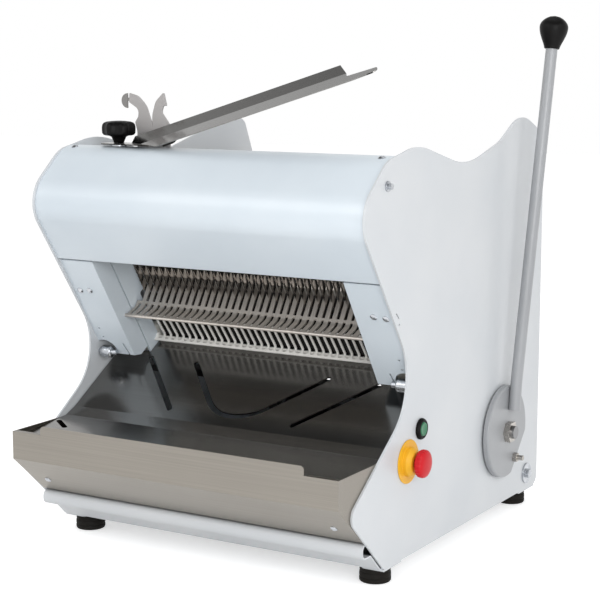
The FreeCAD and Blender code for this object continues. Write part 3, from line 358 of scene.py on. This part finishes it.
@dataclass(frozen=True)
class PlatedSteel(Finish):
    """Zinc-plated or passivated steel, and sintered bronze: bright, with faint duller clouds."""

    metallic: float = 1.0
    grain_mm: Point = (1.5, 1.5, 1.5)
    grain_depth_mm: float = 0.006
    patch_mm: float = 9.0
    roughness_drift: float = 0.07


@dataclass(frozen=True)
class CastMetal(Finish):
    """Metal cast in sand, then painted or left bare: a coarse, pitted skin."""

    grain_mm: Point = (2.2, 2.2, 2.2)
    grain_depth_mm: float = 0.12
    patch_mm: float = 30.0


@dataclass(frozen=True)
class MouldedPlastic(Finish):
    """Injection-moulded plastic: even colour, and the faint grain of a spark-eroded mould."""

    roughness: float = 0.35
    ior: float = 1.49
    grain_mm: Point = (1.2, 1.2, 1.2)
    grain_depth_mm: float = 0.012
    patch_mm: float = 40.0


@dataclass(frozen=True)
class MouldedRubber(Finish):
    """Black moulded rubber: matt, with grey bloom in broad patches."""

    roughness: float = 0.72
    ior: float = 1.52
    grain_mm: Point = (0.9, 0.9, 0.9)
    grain_depth_mm: float = 0.05
    patch_mm: float = 18.0
    roughness_drift: float = 0.1


def finish_table() -> dict[Slot, Finish]:
    """Names the finish of each material slot.

    Returns:
        The finishes by slot.
    """
    return {
        Slot.PANEL: PowderCoat("powder_coat_white_grey", "#CED1D4", "#C8CCD0"),
        Slot.HOOD: PowderCoat("powder_coat_cool_white", "#D3DCE3", "#CBD5DD"),
        Slot.LEVER: PowderCoat("powder_coat_silver_grey", "#9D9FA2", "#95979A", roughness=0.42),
        Slot.MOTOR: CastMetal("cast_aluminium_grey_paint", "#5C636A", "#50575E", roughness=0.5),
        Slot.SHEET: BrushedSteel("stainless_sheet_brushed", "#938E86", "#8C8780", roughness=0.36),
        # the upright faces and slot walls of this sheet carry painted shade
        Slot.POLISHED: LaserCutSteel(
            "stainless_sheet_satin_polished", "#868583", "#7E7D7B", roughness=0.2, grain_depth_mm=0.002),
        Slot.BLADE: BladeSteel("blade_steel_polished", "#D0CCC8", "#C6C2BE"),
        Slot.FRAME: BrushedSteel("mild_steel_bright_drawn", "#8F8F90", "#868688", roughness=0.36),
        Slot.ZINC: PlatedSteel("steel_zinc_plated", "#C3C6CA", "#A9ADB3", roughness=0.27),
        Slot.GILT: PlatedSteel("steel_pale_passivated", "#BDB9B4", "#A5A19B", roughness=0.3),
        Slot.BRONZE: PlatedSteel("bearing_bronze_sintered", "#A87B4A", "#8E6538", roughness=0.42),
        Slot.IRON: CastMetal("cast_iron_grey", "#5A5C5E", "#47494B", roughness=0.5, metallic=1.0),
        Slot.HORN: PowderCoat("powder_coat_warm_grey", "#A9A6A5", "#A19E9D"),
        Slot.COMB: MouldedPlastic("acetal_white", "#E4E2DA", "#D9D6CD", roughness=0.42),
        Slot.FINGER: BrushedSteel(
            "stainless_sheet_matt", "#D2CCC5", "#C6C0B9", roughness=0.5, grain_mm=(2.0, 60.0, 60.0)),
        Slot.GUARD: PowderCoat("powder_coat_bright_white", "#F2F0EC", "#ECEAE5", roughness=0.3),
        # the infeed table's black is painted shade: it stands for the dark of the shaded bay behind the
        # blades
        Slot.TABLE: PowderCoat(
            "non_stick_coat_black", "#171513", "#1D1A18", roughness=0.55, specular=0.2, coat=0.0),
        Slot.TIP: MouldedPlastic("nylon_grey", "#8B8987", "#817F7D"),
        Slot.PLASTIC: MouldedPlastic("phenolic_black", "#0A0909", "#100F0F", roughness=0.45, specular=0.14),
        Slot.RUBBER: MouldedRubber("rubber_black", "#12100D", "#1A1714", specular=0.18),
        Slot.YELLOW: MouldedPlastic("abs_signal_yellow", "#EAB22A", "#E0A71F", specular=0.3),
        Slot.RED: MouldedPlastic("abs_signal_red", "#CB1822", "#BC151E", roughness=0.38, specular=0.25),
        Slot.GREEN: MouldedPlastic("abs_signal_green", "#1E7A50", "#176843", roughness=0.28),
    }


# ------------------------------------------------------------------ frame and meshes
class Datum:
    """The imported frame: where the machine frame lies in it, and its nodes and bodies."""

    PANEL_BACK = 507.0

    def __init__(self) -> None:
        self.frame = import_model()
        self.cad_box = [list(corner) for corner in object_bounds()]
        left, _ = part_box("side_panel_left")
        _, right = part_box("side_panel_right")
        self.shift = np.array([(left.x + right.x) / 2 / MM, right.y / MM - self.PANEL_BACK, 0.0])
        self.materials = {slot.value: finish.build() for slot, finish in finish_table().items()}

    def place(self, points: np.ndarray) -> np.ndarray:
        """Machine-frame millimetres as packed-frame metres."""
        return (np.asarray(points, dtype=float) + self.shift) * MM

    def lean(self, b: np.ndarray | float, u: np.ndarray | float) -> tuple[Any, Any]:
        """Machine-frame (y, z) of a point of the leaning frame."""
        return b * math.cos(LEAN) - u * math.sin(LEAN), b * math.sin(LEAN) + u * math.cos(LEAN)

    def body_of(self, node: str) -> str:
        """Name of the body that a node belongs to."""
        return self.frame["nodes"][node].parent.name.split(":", 1)[1]

    def slot_of(self, node: str) -> str:
        """Material slot of a node."""
        return self.frame["nodes"][node].data.materials[0].name.split(".")[0]


def grid_faces(rows: int, columns: int) -> np.ndarray:
    """Quads between neighbouring points of a grid whose rows are closed rings.

    Args:
        rows: number of rows.
        columns: points in a row.

    Returns:
        One row of four point numbers for each face.
    """
    row = np.arange(rows - 1)[:, None] * columns
    column = np.arange(columns)[None, :]
    following = (column + 1) % columns
    above = row + columns
    return np.stack([row + column, row + following, above + following, above + column], -1).reshape(-1, 4)


class Shell:
    """Points and faces of one piece, gathered from several grids in the machine frame."""

    MERGE = 1e-6

    def __init__(self) -> None:
        """Starts with no points."""
        self.points: list[np.ndarray] = []
        self.faces: list[list[int]] = []
        self.count = 0

    def add(self, grid: np.ndarray, caps: bool = True) -> None:
        """Adds a grid of points shaped (rows, columns, 3), each row a closed ring.

        Args:
            grid: the points.
            caps: whether the first and last rings are closed by a face each.
        """
        rows, columns = grid.shape[:2]
        self.faces += (grid_faces(rows, columns) + self.count).tolist()
        if caps:
            ring = np.arange(columns) + self.count
            self.faces += [ring[::-1].tolist(), (ring + (rows - 1) * columns).tolist()]
        self.points.append(grid.reshape(-1, 3))
        self.count += rows * columns

    def piece(
        self, name: str, datum: Datum, body: str, slot: Slot, replaces: tuple[str, ...]
    ) -> bpy.types.Object:
        """Makes the object, closes its poles, turns its faces outwards and hands it to the frame.

        Args:
            name: name of the piece.
            datum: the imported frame.
            body: body that it rides on.
            slot: its material slot.
            replaces: CAD nodes that it stands for.

        Returns:
            The new object.
        """
        mesh = bpy.data.meshes.new(name)
        mesh.from_pydata(datum.place(np.concatenate(self.points)).tolist(), [], self.faces)
        work = bmesh.new()
        work.from_mesh(mesh)
        bmesh.ops.remove_doubles(work, verts=work.verts, dist=self.MERGE)
        bmesh.ops.dissolve_degenerate(work, edges=work.edges, dist=self.MERGE)
        bmesh.ops.recalc_face_normals(work, faces=work.faces)
        work.to_mesh(mesh)
        work.free()
        return settle(mesh, name, datum, body, slot.value, replaces)


def settle(
    mesh: bpy.types.Mesh, name: str, datum: Datum, body: str, slot: str, replaces: tuple[str, ...]
) -> bpy.types.Object:
    """Links a finished mesh as a piece: its body, its material and the nodes it stands for.

    Args:
        mesh: the mesh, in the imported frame's metres.
        name: name of the piece.
        datum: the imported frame.
        body: body that it rides on.
        slot: name of its material slot.
        replaces: CAD nodes that it stands for.

    Returns:
        The new object.
    """
    piece = bpy.data.objects.new(name, mesh)
    bpy.context.scene.collection.objects.link(piece)
    mesh.materials.clear()
    mesh.materials.append(datum.materials[slot])
    mesh.polygons.foreach_set("use_smooth", np.ones(len(mesh.polygons), dtype=bool))
    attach(piece, body)
    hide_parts(*replaces)
    LOG.info("piece %s: %d faces on %s", name, len(mesh.polygons), body)
    return piece


def soften(piece: bpy.types.Object, width_mm: float, segments: int = 2, angle: float = 32.0) -> None:
    """Rounds a piece's edges and weighs its normals by face area.

    Args:
        piece: the piece.
        width_mm: width of the rounded edge.
        segments: faces across the rounded edge.
        angle: smallest angle in degrees that counts as an edge.
    """
    bevel = piece.modifiers.new("rounded_edges", "BEVEL")
    bevel.width = width_mm * MM
    bevel.segments = segments
    bevel.limit_method = "ANGLE"
    bevel.angle_limit = math.radians(angle)
    bevel.use_clamp_overlap = True
    bevel.miter_outer = "MITER_ARC"
    weighted = piece.modifiers.new("weighted_normals", "WEIGHTED_NORMAL")
    weighted.keep_sharp = True
    weighted.weight = AREA_WEIGHT


@dataclass
class EdgedSheet:
    """Copies of CAD nodes whose knife-sharp corners get the small radius of a deburred edge."""

    widths: dict[str, float]
    merge_mm: float = 0.012
    flat_angle: float = 0.4

    def build(self, datum: Datum) -> None:
        """Makes one copy for each node: merged, its flat faces joined, its edges rounded.

        Args:
            datum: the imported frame.
        """
        for node, width in self.widths.items():
            work = bmesh.new()
            work.from_mesh(datum.frame["nodes"][node].data)
            bmesh.ops.remove_doubles(work, verts=work.verts, dist=self.merge_mm * MM)
            bmesh.ops.dissolve_limit(
                work, angle_limit=math.radians(self.flat_angle), verts=work.verts, edges=work.edges)
            mesh = bpy.data.meshes.new(node + "_edged")
            work.to_mesh(mesh)
            work.free()
            normals = mesh.attributes.get("custom_normal")
            if normals:
                mesh.attributes.remove(normals)
            piece = settle(mesh, node + "_edged", datum, datum.body_of(node), datum.slot_of(node), (node,))
            soften(piece, width)


@dataclass
class Turned:
    """A turned shape: a profile of (radius, height) carried round an axis.

    flutes is the number of lobes round it, flute_depth how far they swing in millimetres,
    flute_flatness how square they are, and flute_share how much of that each profile point takes.
    """

    origin: Point
    axis: Point
    profile: list[tuple[float, float]]
    steps: int = 48
    flutes: int = 0
    flute_depth: float = 0.0
    flute_flatness: float = 0.01
    flute_share: tuple[float, ...] = ()

    def grid(self) -> np.ndarray:
        """Points of the shape.

        A point is the origin plus the height along the axis plus the radius times the unit
        vector at its angle round the axis. With flutes, each profile point's radius grows by its
        share of the depth times tanh(flatness times cos(flutes times angle)) over tanh(flatness).

        Returns:
            Array (profile points, steps, 3).
        """
        axis = np.array(self.axis, dtype=float)
        axis /= np.linalg.norm(axis)
        helper = np.array([0.0, 0.0, 1.0]) if abs(axis[2]) < 0.9 else np.array([1.0, 0.0, 0.0])
        side = np.cross(axis, helper)
        side /= np.linalg.norm(side)
        other = np.cross(axis, side)
        angle = np.linspace(0, 2 * math.pi, self.steps, endpoint=False)
        radius, height = np.array(self.profile, dtype=float).T
        reach = np.repeat(radius[:, None], self.steps, axis=1)
        if self.flutes:
            wave = np.tanh(self.flute_flatness * np.cos(self.flutes * angle)) / math.tanh(self.flute_flatness)
            reach += np.array(self.flute_share)[:, None] * self.flute_depth * wave[None, :]
        ring = np.cos(angle)[:, None] * side + np.sin(angle)[:, None] * other
        return np.array(self.origin) + height[:, None, None] * axis + reach[:, :, None] * ring[None, :, :]


# ------------------------------------------------------------------ sub-assemblies
@dataclass
class BladeSet:
    """Both sets of slicing blades, with their ground and scalloped front edges."""

    pitch: float = 12.0
    count: int = 35
    front: float = 268.0
    depth: float = 12.0
    thickness: float = 0.6
    grind: float = 3.2
    edge_half: float = 0.04
    low: float = 104.0
    high: float = 408.0
    scallop_pitch: float = 8.0
    scallop_depth: float = 0.9
    samples: int = 153
    tab: float = 8.0
    tab_reach: tuple[float, float] = (262.0, 286.0)
    tab_overlap: tuple[float, float] = (2.0, 1.0)

    def strips(self, datum: Datum, x: float) -> np.ndarray:
        """One blade's strip as rings carried up along u.

        The cutting edge lies at the front plus the scallop depth times the absolute cosine of
        the height over the scallop pitch; the faces spread to full thickness over the grind.

        Args:
            datum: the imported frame.
            x: place of the blade.

        Returns:
            Array (samples, 6, 3) of machine-frame points.
        """
        u = np.linspace(self.low, self.high, self.samples)
        edge = self.front + self.scallop_depth * np.abs(np.cos(math.pi * (u - self.low) / self.scallop_pitch))
        half, fine = self.thickness / 2, self.edge_half
        back = np.full_like(u, self.front + self.depth)
        shoulder = np.full_like(u, self.front + self.scallop_depth + self.grind)
        b = np.stack([edge, shoulder, back, back, shoulder, edge], axis=1)
        across = x + np.array([fine, half, half, -half, -half, -fine])
        y, z = datum.lean(b, u[:, None])
        return np.stack([np.broadcast_to(across, b.shape), y, z], axis=-1)

    def tabs(self, datum: Datum, x: float, rear: bool) -> list[np.ndarray]:
        """The two tabs that hold a blade on its frame's bars, each as a short box.

        Args:
            datum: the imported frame.
            x: place of the blade.
            rear: whether the blade belongs to the rear frame.

        Returns:
            Two arrays (2, 4, 3) of machine-frame points.
        """
        if rear:
            near, far = self.front + self.depth - self.tab_overlap[1], self.tab_reach[1]
        else:
            near, far = self.tab_reach[0], self.front + self.tab_overlap[0]
        half = self.thickness / 2
        boxes = []
        for low in (self.low, self.high - self.tab):
            b = np.array([[near, far, far, near]] * 2)
            u = np.array([[low] * 4, [low + self.tab] * 4])
            across = x + np.array([[half, half, -half, -half]] * 2)
            y, z = datum.lean(b, u)
            boxes.append(np.stack([across, y, z], axis=-1))
        return boxes

    def build(self, datum: Datum) -> None:
        """Makes the front and the rear set.

        Args:
            datum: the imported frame.
        """
        first = -self.pitch * (self.count - 1) / 2
        for rear, name in ((False, "front_blades"), (True, "rear_blades")):
            shell = Shell()
            for index in range(1 if rear else 0, self.count, 2):
                x = first + self.pitch * index
                shell.add(self.strips(datum, x))
                for box in self.tabs(datum, x, rear):
                    shell.add(box)
            piece = shell.piece(name + "_ground", datum, datum.body_of(name), Slot.BLADE, (name,))
            piece.data.polygons.foreach_set("use_smooth", np.zeros(len(piece.data.polygons), dtype=bool))


@dataclass
class Feet:
    """Four moulded rubber feet with grip grooves, on zinc-plated studs."""

    spots: tuple[tuple[float, float], ...] = ((-248.7, 0.0), (248.7, 0.0), (-248.7, 466.0), (248.7, 466.0))
    radius: float = 22.4
    height: float = 23.0

    def build(self, datum: Datum) -> None:
        """Makes the rubber bodies and the studs with their nuts.

        Args:
            datum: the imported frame.
        """
        r, h = self.radius, self.height
        rubber = [(0, 0), (r - 3, 0), (r - 1.2, 0.6), (r - 0.2, 2.2), (r, 6), (r - 0.9, 6.6), (r - 0.9, 8.2),
                  (r - 0.1, 8.8), (r - 0.3, 14), (r - 1.2, 14.6), (r - 1.2, 16.2), (r - 0.5, 16.8),
                  (r - 0.9, h - 1.6), (r - 1.8, h), (0, h)]
        stud = [(0, h), (3.9, h), (3.9, 35.2), (3.2, 36), (0, 36)]
        nut = [(0, 28), (7.4, 28), (8, 28.6), (8, 33.4), (7.2, 34), (0, 34)]
        up = (0, 0, 1)
        pads, studs = Shell(), Shell()
        for x, y in self.spots:
            pads.add(Turned((x, y, 0), up, rubber).grid(), caps=False)
            studs.add(Turned((x, y, 0), up, stud, 24).grid(), caps=False)
            studs.add(Turned((x, y, 0), up, nut, 6).grid(), caps=False)
        soften(pads.piece("foot_pads", datum, "root", Slot.RUBBER, ("rubber_feet",)), 0.4)
        soften(studs.piece("foot_studs", datum, "root", Slot.ZINC, ("rubber_feet",)), 0.3)


@dataclass
class Controls:
    """Emergency stop and start button on the right panel."""

    face: float = 276.0
    stop: tuple[float, float] = (42.0, 163.0)
    start: tuple[float, float] = (80.0, 202.0)
    axis: Point = (1, 0, 0)

    def build(self, datum: Datum) -> None:
        """Makes the stop's plate, collar and head, and the start's bezel and cap."""
        self.build_stop(datum)
        self.build_start(datum)

    def build_stop(self, datum: Datum) -> None:
        """Yellow plate with a stepped collar, and a finely fluted red head.

        Args:
            datum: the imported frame.
        """
        spot = (self.face, *self.stop)
        profile = [(9.2, -16), (11, -16), (11, 0), (30.2, 0), (31, 0.5), (31, 1.5), (30.4, 2), (22, 2),
                   (21, 2.4), (20.8, 8), (20, 9), (16, 13.4), (15, 14), (9.2, 14), (9.2, -16)]
        collar = Shell()
        collar.add(Turned(spot, self.axis, profile, 96).grid(), caps=False)
        soften(collar.piece("stop_collar", datum, "root", Slot.YELLOW, ("stop_base",)), 0.25)

        profile = [(0, -4), (8.9, -4), (8.9, 18.4), (16.5, 19.0), (18.6, 19.6), (19.2, 21.0), (19.3, 26.0),
                   (18.4, 28.4), (15.4, 30.2), (10.5, 31.3), (5.0, 31.8), (0, 32.0)]
        share = (0, 0, 0, 0, 0.25, 0.45, 0.45, 0.25, 0, 0, 0, 0)
        head = Shell()
        head.add(Turned(spot, self.axis, profile, 192, 24, 1.0, flute_share=share).grid(), caps=False)
        head.piece("stop_head", datum, "stop", Slot.RED, ("stop_button",))

    def build_start(self, datum: Datum) -> None:
        """Black bezel with a grip ring, green cap with a dished face.

        Args:
            datum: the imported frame.
        """
        spot = (self.face, *self.start)
        profile = [(10.1, -16), (11, -16), (11, 0), (14.8, 0), (14.9, 1.5), (14.6, 3.4), (13.6, 5.2),
                   (12.4, 6), (10.8, 6), (10.1, 5.4), (10.1, -16)]
        share = (0, 0, 0, 0.25, 0.35, 0.25, 0, 0, 0, 0, 0)
        ring = Shell()
        ring.add(Turned(spot, self.axis, profile, 144, 36, 1.0, flute_share=share).grid(), caps=False)
        ring.piece("start_ring", datum, "root", Slot.PLASTIC, ("start_bezel",))

        profile = [(0, -6), (9.9, -6), (9.9, 5.2), (9.4, 6.2), (8.6, 6.5), (7.6, 6.3), (5, 5.9), (0, 5.7)]
        cap = Shell()
        cap.add(Turned(spot, self.axis, profile, 64).grid(), caps=False)
        cap.piece("start_cap", datum, "start", Slot.GREEN, ("start_button",))


@dataclass
class ShovelKnob:
    """Six-lobed clamping knob with a domed top over the shovel's stud."""

    x: float = -193.0
    y: float = 14.0
    low: float = 591.6
    head: float = 602.0
    top: float = 624.0
    core: float = 23.4
    lobe: float = 1.5
    lobes: int = 6
    lobe_flatness: float = 1.4

    def build(self, datum: Datum) -> None:
        """Makes the knob: rounded above and below, its lobes fading into the crown.

        Args:
            datum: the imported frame.
        """
        core, head, top = self.core, self.head, self.top
        profile = [(4.2, self.low), (7.6, self.low), (8.4, self.low + 3), (11.0, head - 1.5),
                   (14.5, head + 0.2), (core - 5.0, head + 0.5), (core - 2.0, head + 1.6),
                   (core - 0.4, head + 4.0), (core, head + 7.5), (core, head + 13.0),
                   (core - 0.7, head + 16.5), (core - 2.6, head + 19.2), (core - 6.0, top - 1.3),
                   (11, top - 0.4), (5, top), (0, top)]
        share = (0, 0, 0, 0, 0.2, 0.6, 0.9, 1, 1, 1, 0.95, 0.8, 0.5, 0.15, 0, 0)
        shell = Shell()
        knob = Turned(
            (self.x, self.y, 0), (0, 0, 1), profile, 144, self.lobes, self.lobe, self.lobe_flatness, share)
        shell.add(knob.grid(), caps=False)
        shell.piece("shovel_knob_lobed", datum, "knob", Slot.PLASTIC, ("shovel_knob",))


@dataclass
class LeverKnob:
    """Egg-shaped black grip at the end of the lever."""

    shaft_y: float = 358.0
    shaft_z: float = 143.0
    elbow: tuple[float, float] = (297.0, 78.0)
    top: tuple[float, float] = (317.0, 586.0)
    tilt: float = 7.0
    length: float = 50.0
    foot_radius: float = 10.6
    foot_height: float = 0.8
    neck_radius: float = 11.6
    swell: float = 10.1
    swell_span: float = 1.32
    swell_power: float = 1.35
    dome_start: float = 0.62
    dome_power: float = 2.3
    rings: int = 34

    def point(self, x: float, height: float) -> np.ndarray:
        """Point of the lever's centre line at a height above its pivot."""
        return np.array([x, self.shaft_y + height * math.tan(math.radians(self.tilt)), self.shaft_z + height])

    def build(self, datum: Datum) -> None:
        """Makes the grip: a smooth profile carried round the lever's axis.

        With t from 0 at the foot to 1 at the tip, the radius is the neck's plus the swell times
        a power of the sine of pi t over the swell's span. From the dome's start, it is
        multiplied by the square root of 1 minus a power of the way to the tip.

        Args:
            datum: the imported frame.
        """
        foot, top = self.point(*self.elbow), self.point(*self.top)
        t = np.linspace(0, 1, self.rings)
        bulge = np.sin(math.pi * np.clip(t / self.swell_span, 0, 1)) ** self.swell_power
        domed = np.clip((t - self.dome_start) / (1 - self.dome_start), 0, 1) ** self.dome_power
        radius = (self.neck_radius + self.swell * bulge) * np.sqrt(np.clip(1 - domed, 0, 1))
        height = self.foot_height + t * (self.length - self.foot_height)
        grip = [(0.0, 0.0), (self.foot_radius, 0.0)] + list(zip(radius, height))
        shell = Shell()
        shell.add(Turned(tuple(top), tuple(top - foot), grip, 64).grid(), caps=False)
        shell.piece("lever_grip", datum, "lever", Slot.PLASTIC, ("lever_knob",))


@dataclass
class Studio:
    """Pale floor, soft lights, white surround and the camera."""

    camera_at: Point = (1264.07, -1899.36, 720.0)
    yaw: float = 30.9
    pitch: float = 8.65
    lens: float = 96.67
    sensor: float = 36.0
    aim: Point = (0.0, 0.0, 0.32)
    floor_half: float = 9.0
    floor_colour: str = "#EDEDED"
    ambient: float = 0.62
    floor_glow: float = 0.52
    overhead: float = 0.12
    overhead_band: tuple[float, float] = (0.4, 0.75)
    lamps: tuple[tuple[str, Point, tuple[float, float], float], ...] = (
        ("left_softbox", (-1.2, -2.1, 1.9), (1.6, 1.3), 15.0),
        ("front_softbox", (1.9, -2.1, 1.0), (1.6, 1.2), 33.0),
        ("side_softbox", (2.4, -0.3, 1.5), (1.4, 1.4), 8.0),
        ("top_softbox", (0.1, 0.5, 2.5), (1.8, 1.2), 8.0),
    )

    def build(self, datum: Datum) -> None:
        """Makes the floor, the lights, the world and the camera.

        Args:
            datum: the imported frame.
        """
        self.build_floor()
        self.build_world()
        target = Vector(self.aim)
        for name, spot, size, power in self.lamps:
            lamp = bpy.data.lights.new(name, "AREA")
            lamp.shape = "RECTANGLE"
            lamp.size, lamp.size_y = size
            lamp.energy = power
            holder = bpy.data.objects.new(name, lamp)
            holder.location = spot
            holder.rotation_euler = (target - Vector(spot)).to_track_quat("-Z", "Y").to_euler()
            bpy.context.scene.collection.objects.link(holder)
        camera = bpy.data.cameras.new("camera")
        camera.lens = self.lens
        camera.sensor_width = self.sensor
        holder = bpy.data.objects.new("camera", camera)
        holder.location = datum.place(np.array(self.camera_at)).tolist()
        holder.rotation_euler = (math.radians(90 - self.pitch), 0, math.radians(self.yaw))
        bpy.context.scene.collection.objects.link(holder)
        bpy.context.scene.camera = holder

    def seen(self, tree: bpy.types.NodeTree) -> bpy.types.NodeSocket:
        """1 on rays from the camera or off a gloss or glass surface, otherwise 0.

        Args:
            tree: nodes of the floor's material or of the world.

        Returns:
            The value's socket.
        """
        path = add_node(tree, "ShaderNodeLightPath")
        both = add_node(tree, "ShaderNodeMath", {
            0: path.outputs["Is Camera Ray"], 1: path.outputs["Is Glossy Ray"]}, operation="MAXIMUM")
        return add_node(tree, "ShaderNodeMath", {
            0: both.outputs[0], 1: path.outputs["Is Transmission Ray"]}, operation="MAXIMUM").outputs[0]

    def build_floor(self) -> None:
        """Pale floor whose lit part reads white and which keeps the machine's shadow."""
        half = self.floor_half
        mesh = bpy.data.meshes.new("floor")
        corners = [(-half, -half, 0), (half, -half, 0), (half, half, 0), (-half, half, 0)]
        mesh.from_pydata(corners, [], [[0, 1, 2, 3]])
        floor = bpy.data.objects.new("floor", mesh)
        bpy.context.scene.collection.objects.link(floor)
        material = bpy.data.materials.new("floor_pale_lacquer")
        material.use_nodes = True
        tree = material.node_tree
        tree.nodes.clear()
        matt = add_node(tree, "ShaderNodeBsdfDiffuse", {"Color": linear(self.floor_colour)})
        level = add_node(tree, "ShaderNodeMath", {
            0: self.seen(tree), 1: self.floor_glow}, operation="MULTIPLY")
        glow = add_node(tree, "ShaderNodeEmission", {"Strength": level.outputs[0]})
        both = add_node(tree, "ShaderNodeAddShader", {0: matt.outputs[0], 1: glow.outputs[0]})
        add_node(tree, "ShaderNodeOutputMaterial", {"Surface": both.outputs[0]})
        mesh.materials.append(material)
        floor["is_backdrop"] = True

    def build_world(self) -> None:
        """Lights the object evenly from all sides.

        What the camera or a reflection sees is a white room with a dark ceiling, which keeps
        polished sheet that faces up from glaring.
        """
        world = bpy.data.worlds.new("studio")
        bpy.context.scene.world = world
        world.use_nodes = True
        tree = world.node_tree
        tree.nodes.clear()
        white = linear("#FFFFFF")
        light = add_node(tree, "ShaderNodeBackground", {"Color": white, "Strength": self.ambient})
        direction = add_node(tree, "ShaderNodeTexCoord").outputs["Generated"]
        height = add_node(tree, "ShaderNodeSeparateXYZ", {0: direction}).outputs["Z"]
        level = add_node(tree, "ShaderNodeMapRange", {
            "Value": height, "From Min": self.overhead_band[0], "From Max": self.overhead_band[1],
            "To Min": 1.0, "To Max": self.overhead})
        room = add_node(tree, "ShaderNodeBackground", {
            "Color": white, "Strength": level.outputs["Result"]})
        mix = add_node(tree, "ShaderNodeMixShader", {
            0: self.seen(tree), 1: light.outputs[0], 2: room.outputs[0]})
        add_node(tree, "ShaderNodeOutputWorld", {"Surface": mix.outputs[0]})


def finish_frame(datum: Datum) -> None:
    """Gives every CAD node the finish of its slot.

    Args:
        datum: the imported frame.
    """
    for name, node in datum.frame["nodes"].items():
        node.data.materials[0] = datum.materials[datum.slot_of(name)]


def main() -> None:
    """Builds the dressed machine and its studio."""
    logging.basicConfig(level=logging.INFO, format="%(name)s: %(message)s")
    for old in list(bpy.data.objects):
        bpy.data.objects.remove(old)
    bpy.context.scene.view_settings.view_transform = "Standard"
    datum = Datum()
    builders = [
        EdgedSheet({
            "hood": 0.8, "side_panel_left": 0.9, "side_panel_right": 0.9, "cheek_left": 0.4,
            "cheek_right": 0.4, "base_pan": 0.5, "foot_brackets": 0.5, "front_fascia": 0.35,
            "outfeed_comb": 0.3, "tray_bolts": 0.5, "panel_bolts": 0.5, "lever_hub": 0.8,
            "lever_nuts": 0.8, "bagging_shovel": 0.4, "bag_horns": 0.5, "horn_tip": 0.5,
            "crumb_drawer": 0.4, "infeed_table": 0.4, "bay_wall_left": 0.4, "bay_wall_right": 0.4,
            "rear_cover": 0.4, "feed_arms": 0.6, "pusher_crossbar": 0.5, "pusher_comb": 0.5,
            "front_blade_frame": 0.5, "rear_blade_frame": 0.5, "frame_guides": 0.5,
            "electrical_box": 0.5, "motor_mount": 0.5,
        }),
        BladeSet(),
        Feet(),
        Controls(),
        ShovelKnob(),
        LeverKnob(),
        Studio(),
    ]
    for builder in builders:
        builder.build(datum)
        LOG.info("built %s", type(builder).__name__)
    finish_frame(datum)


if __name__ == "__main__":
    main()
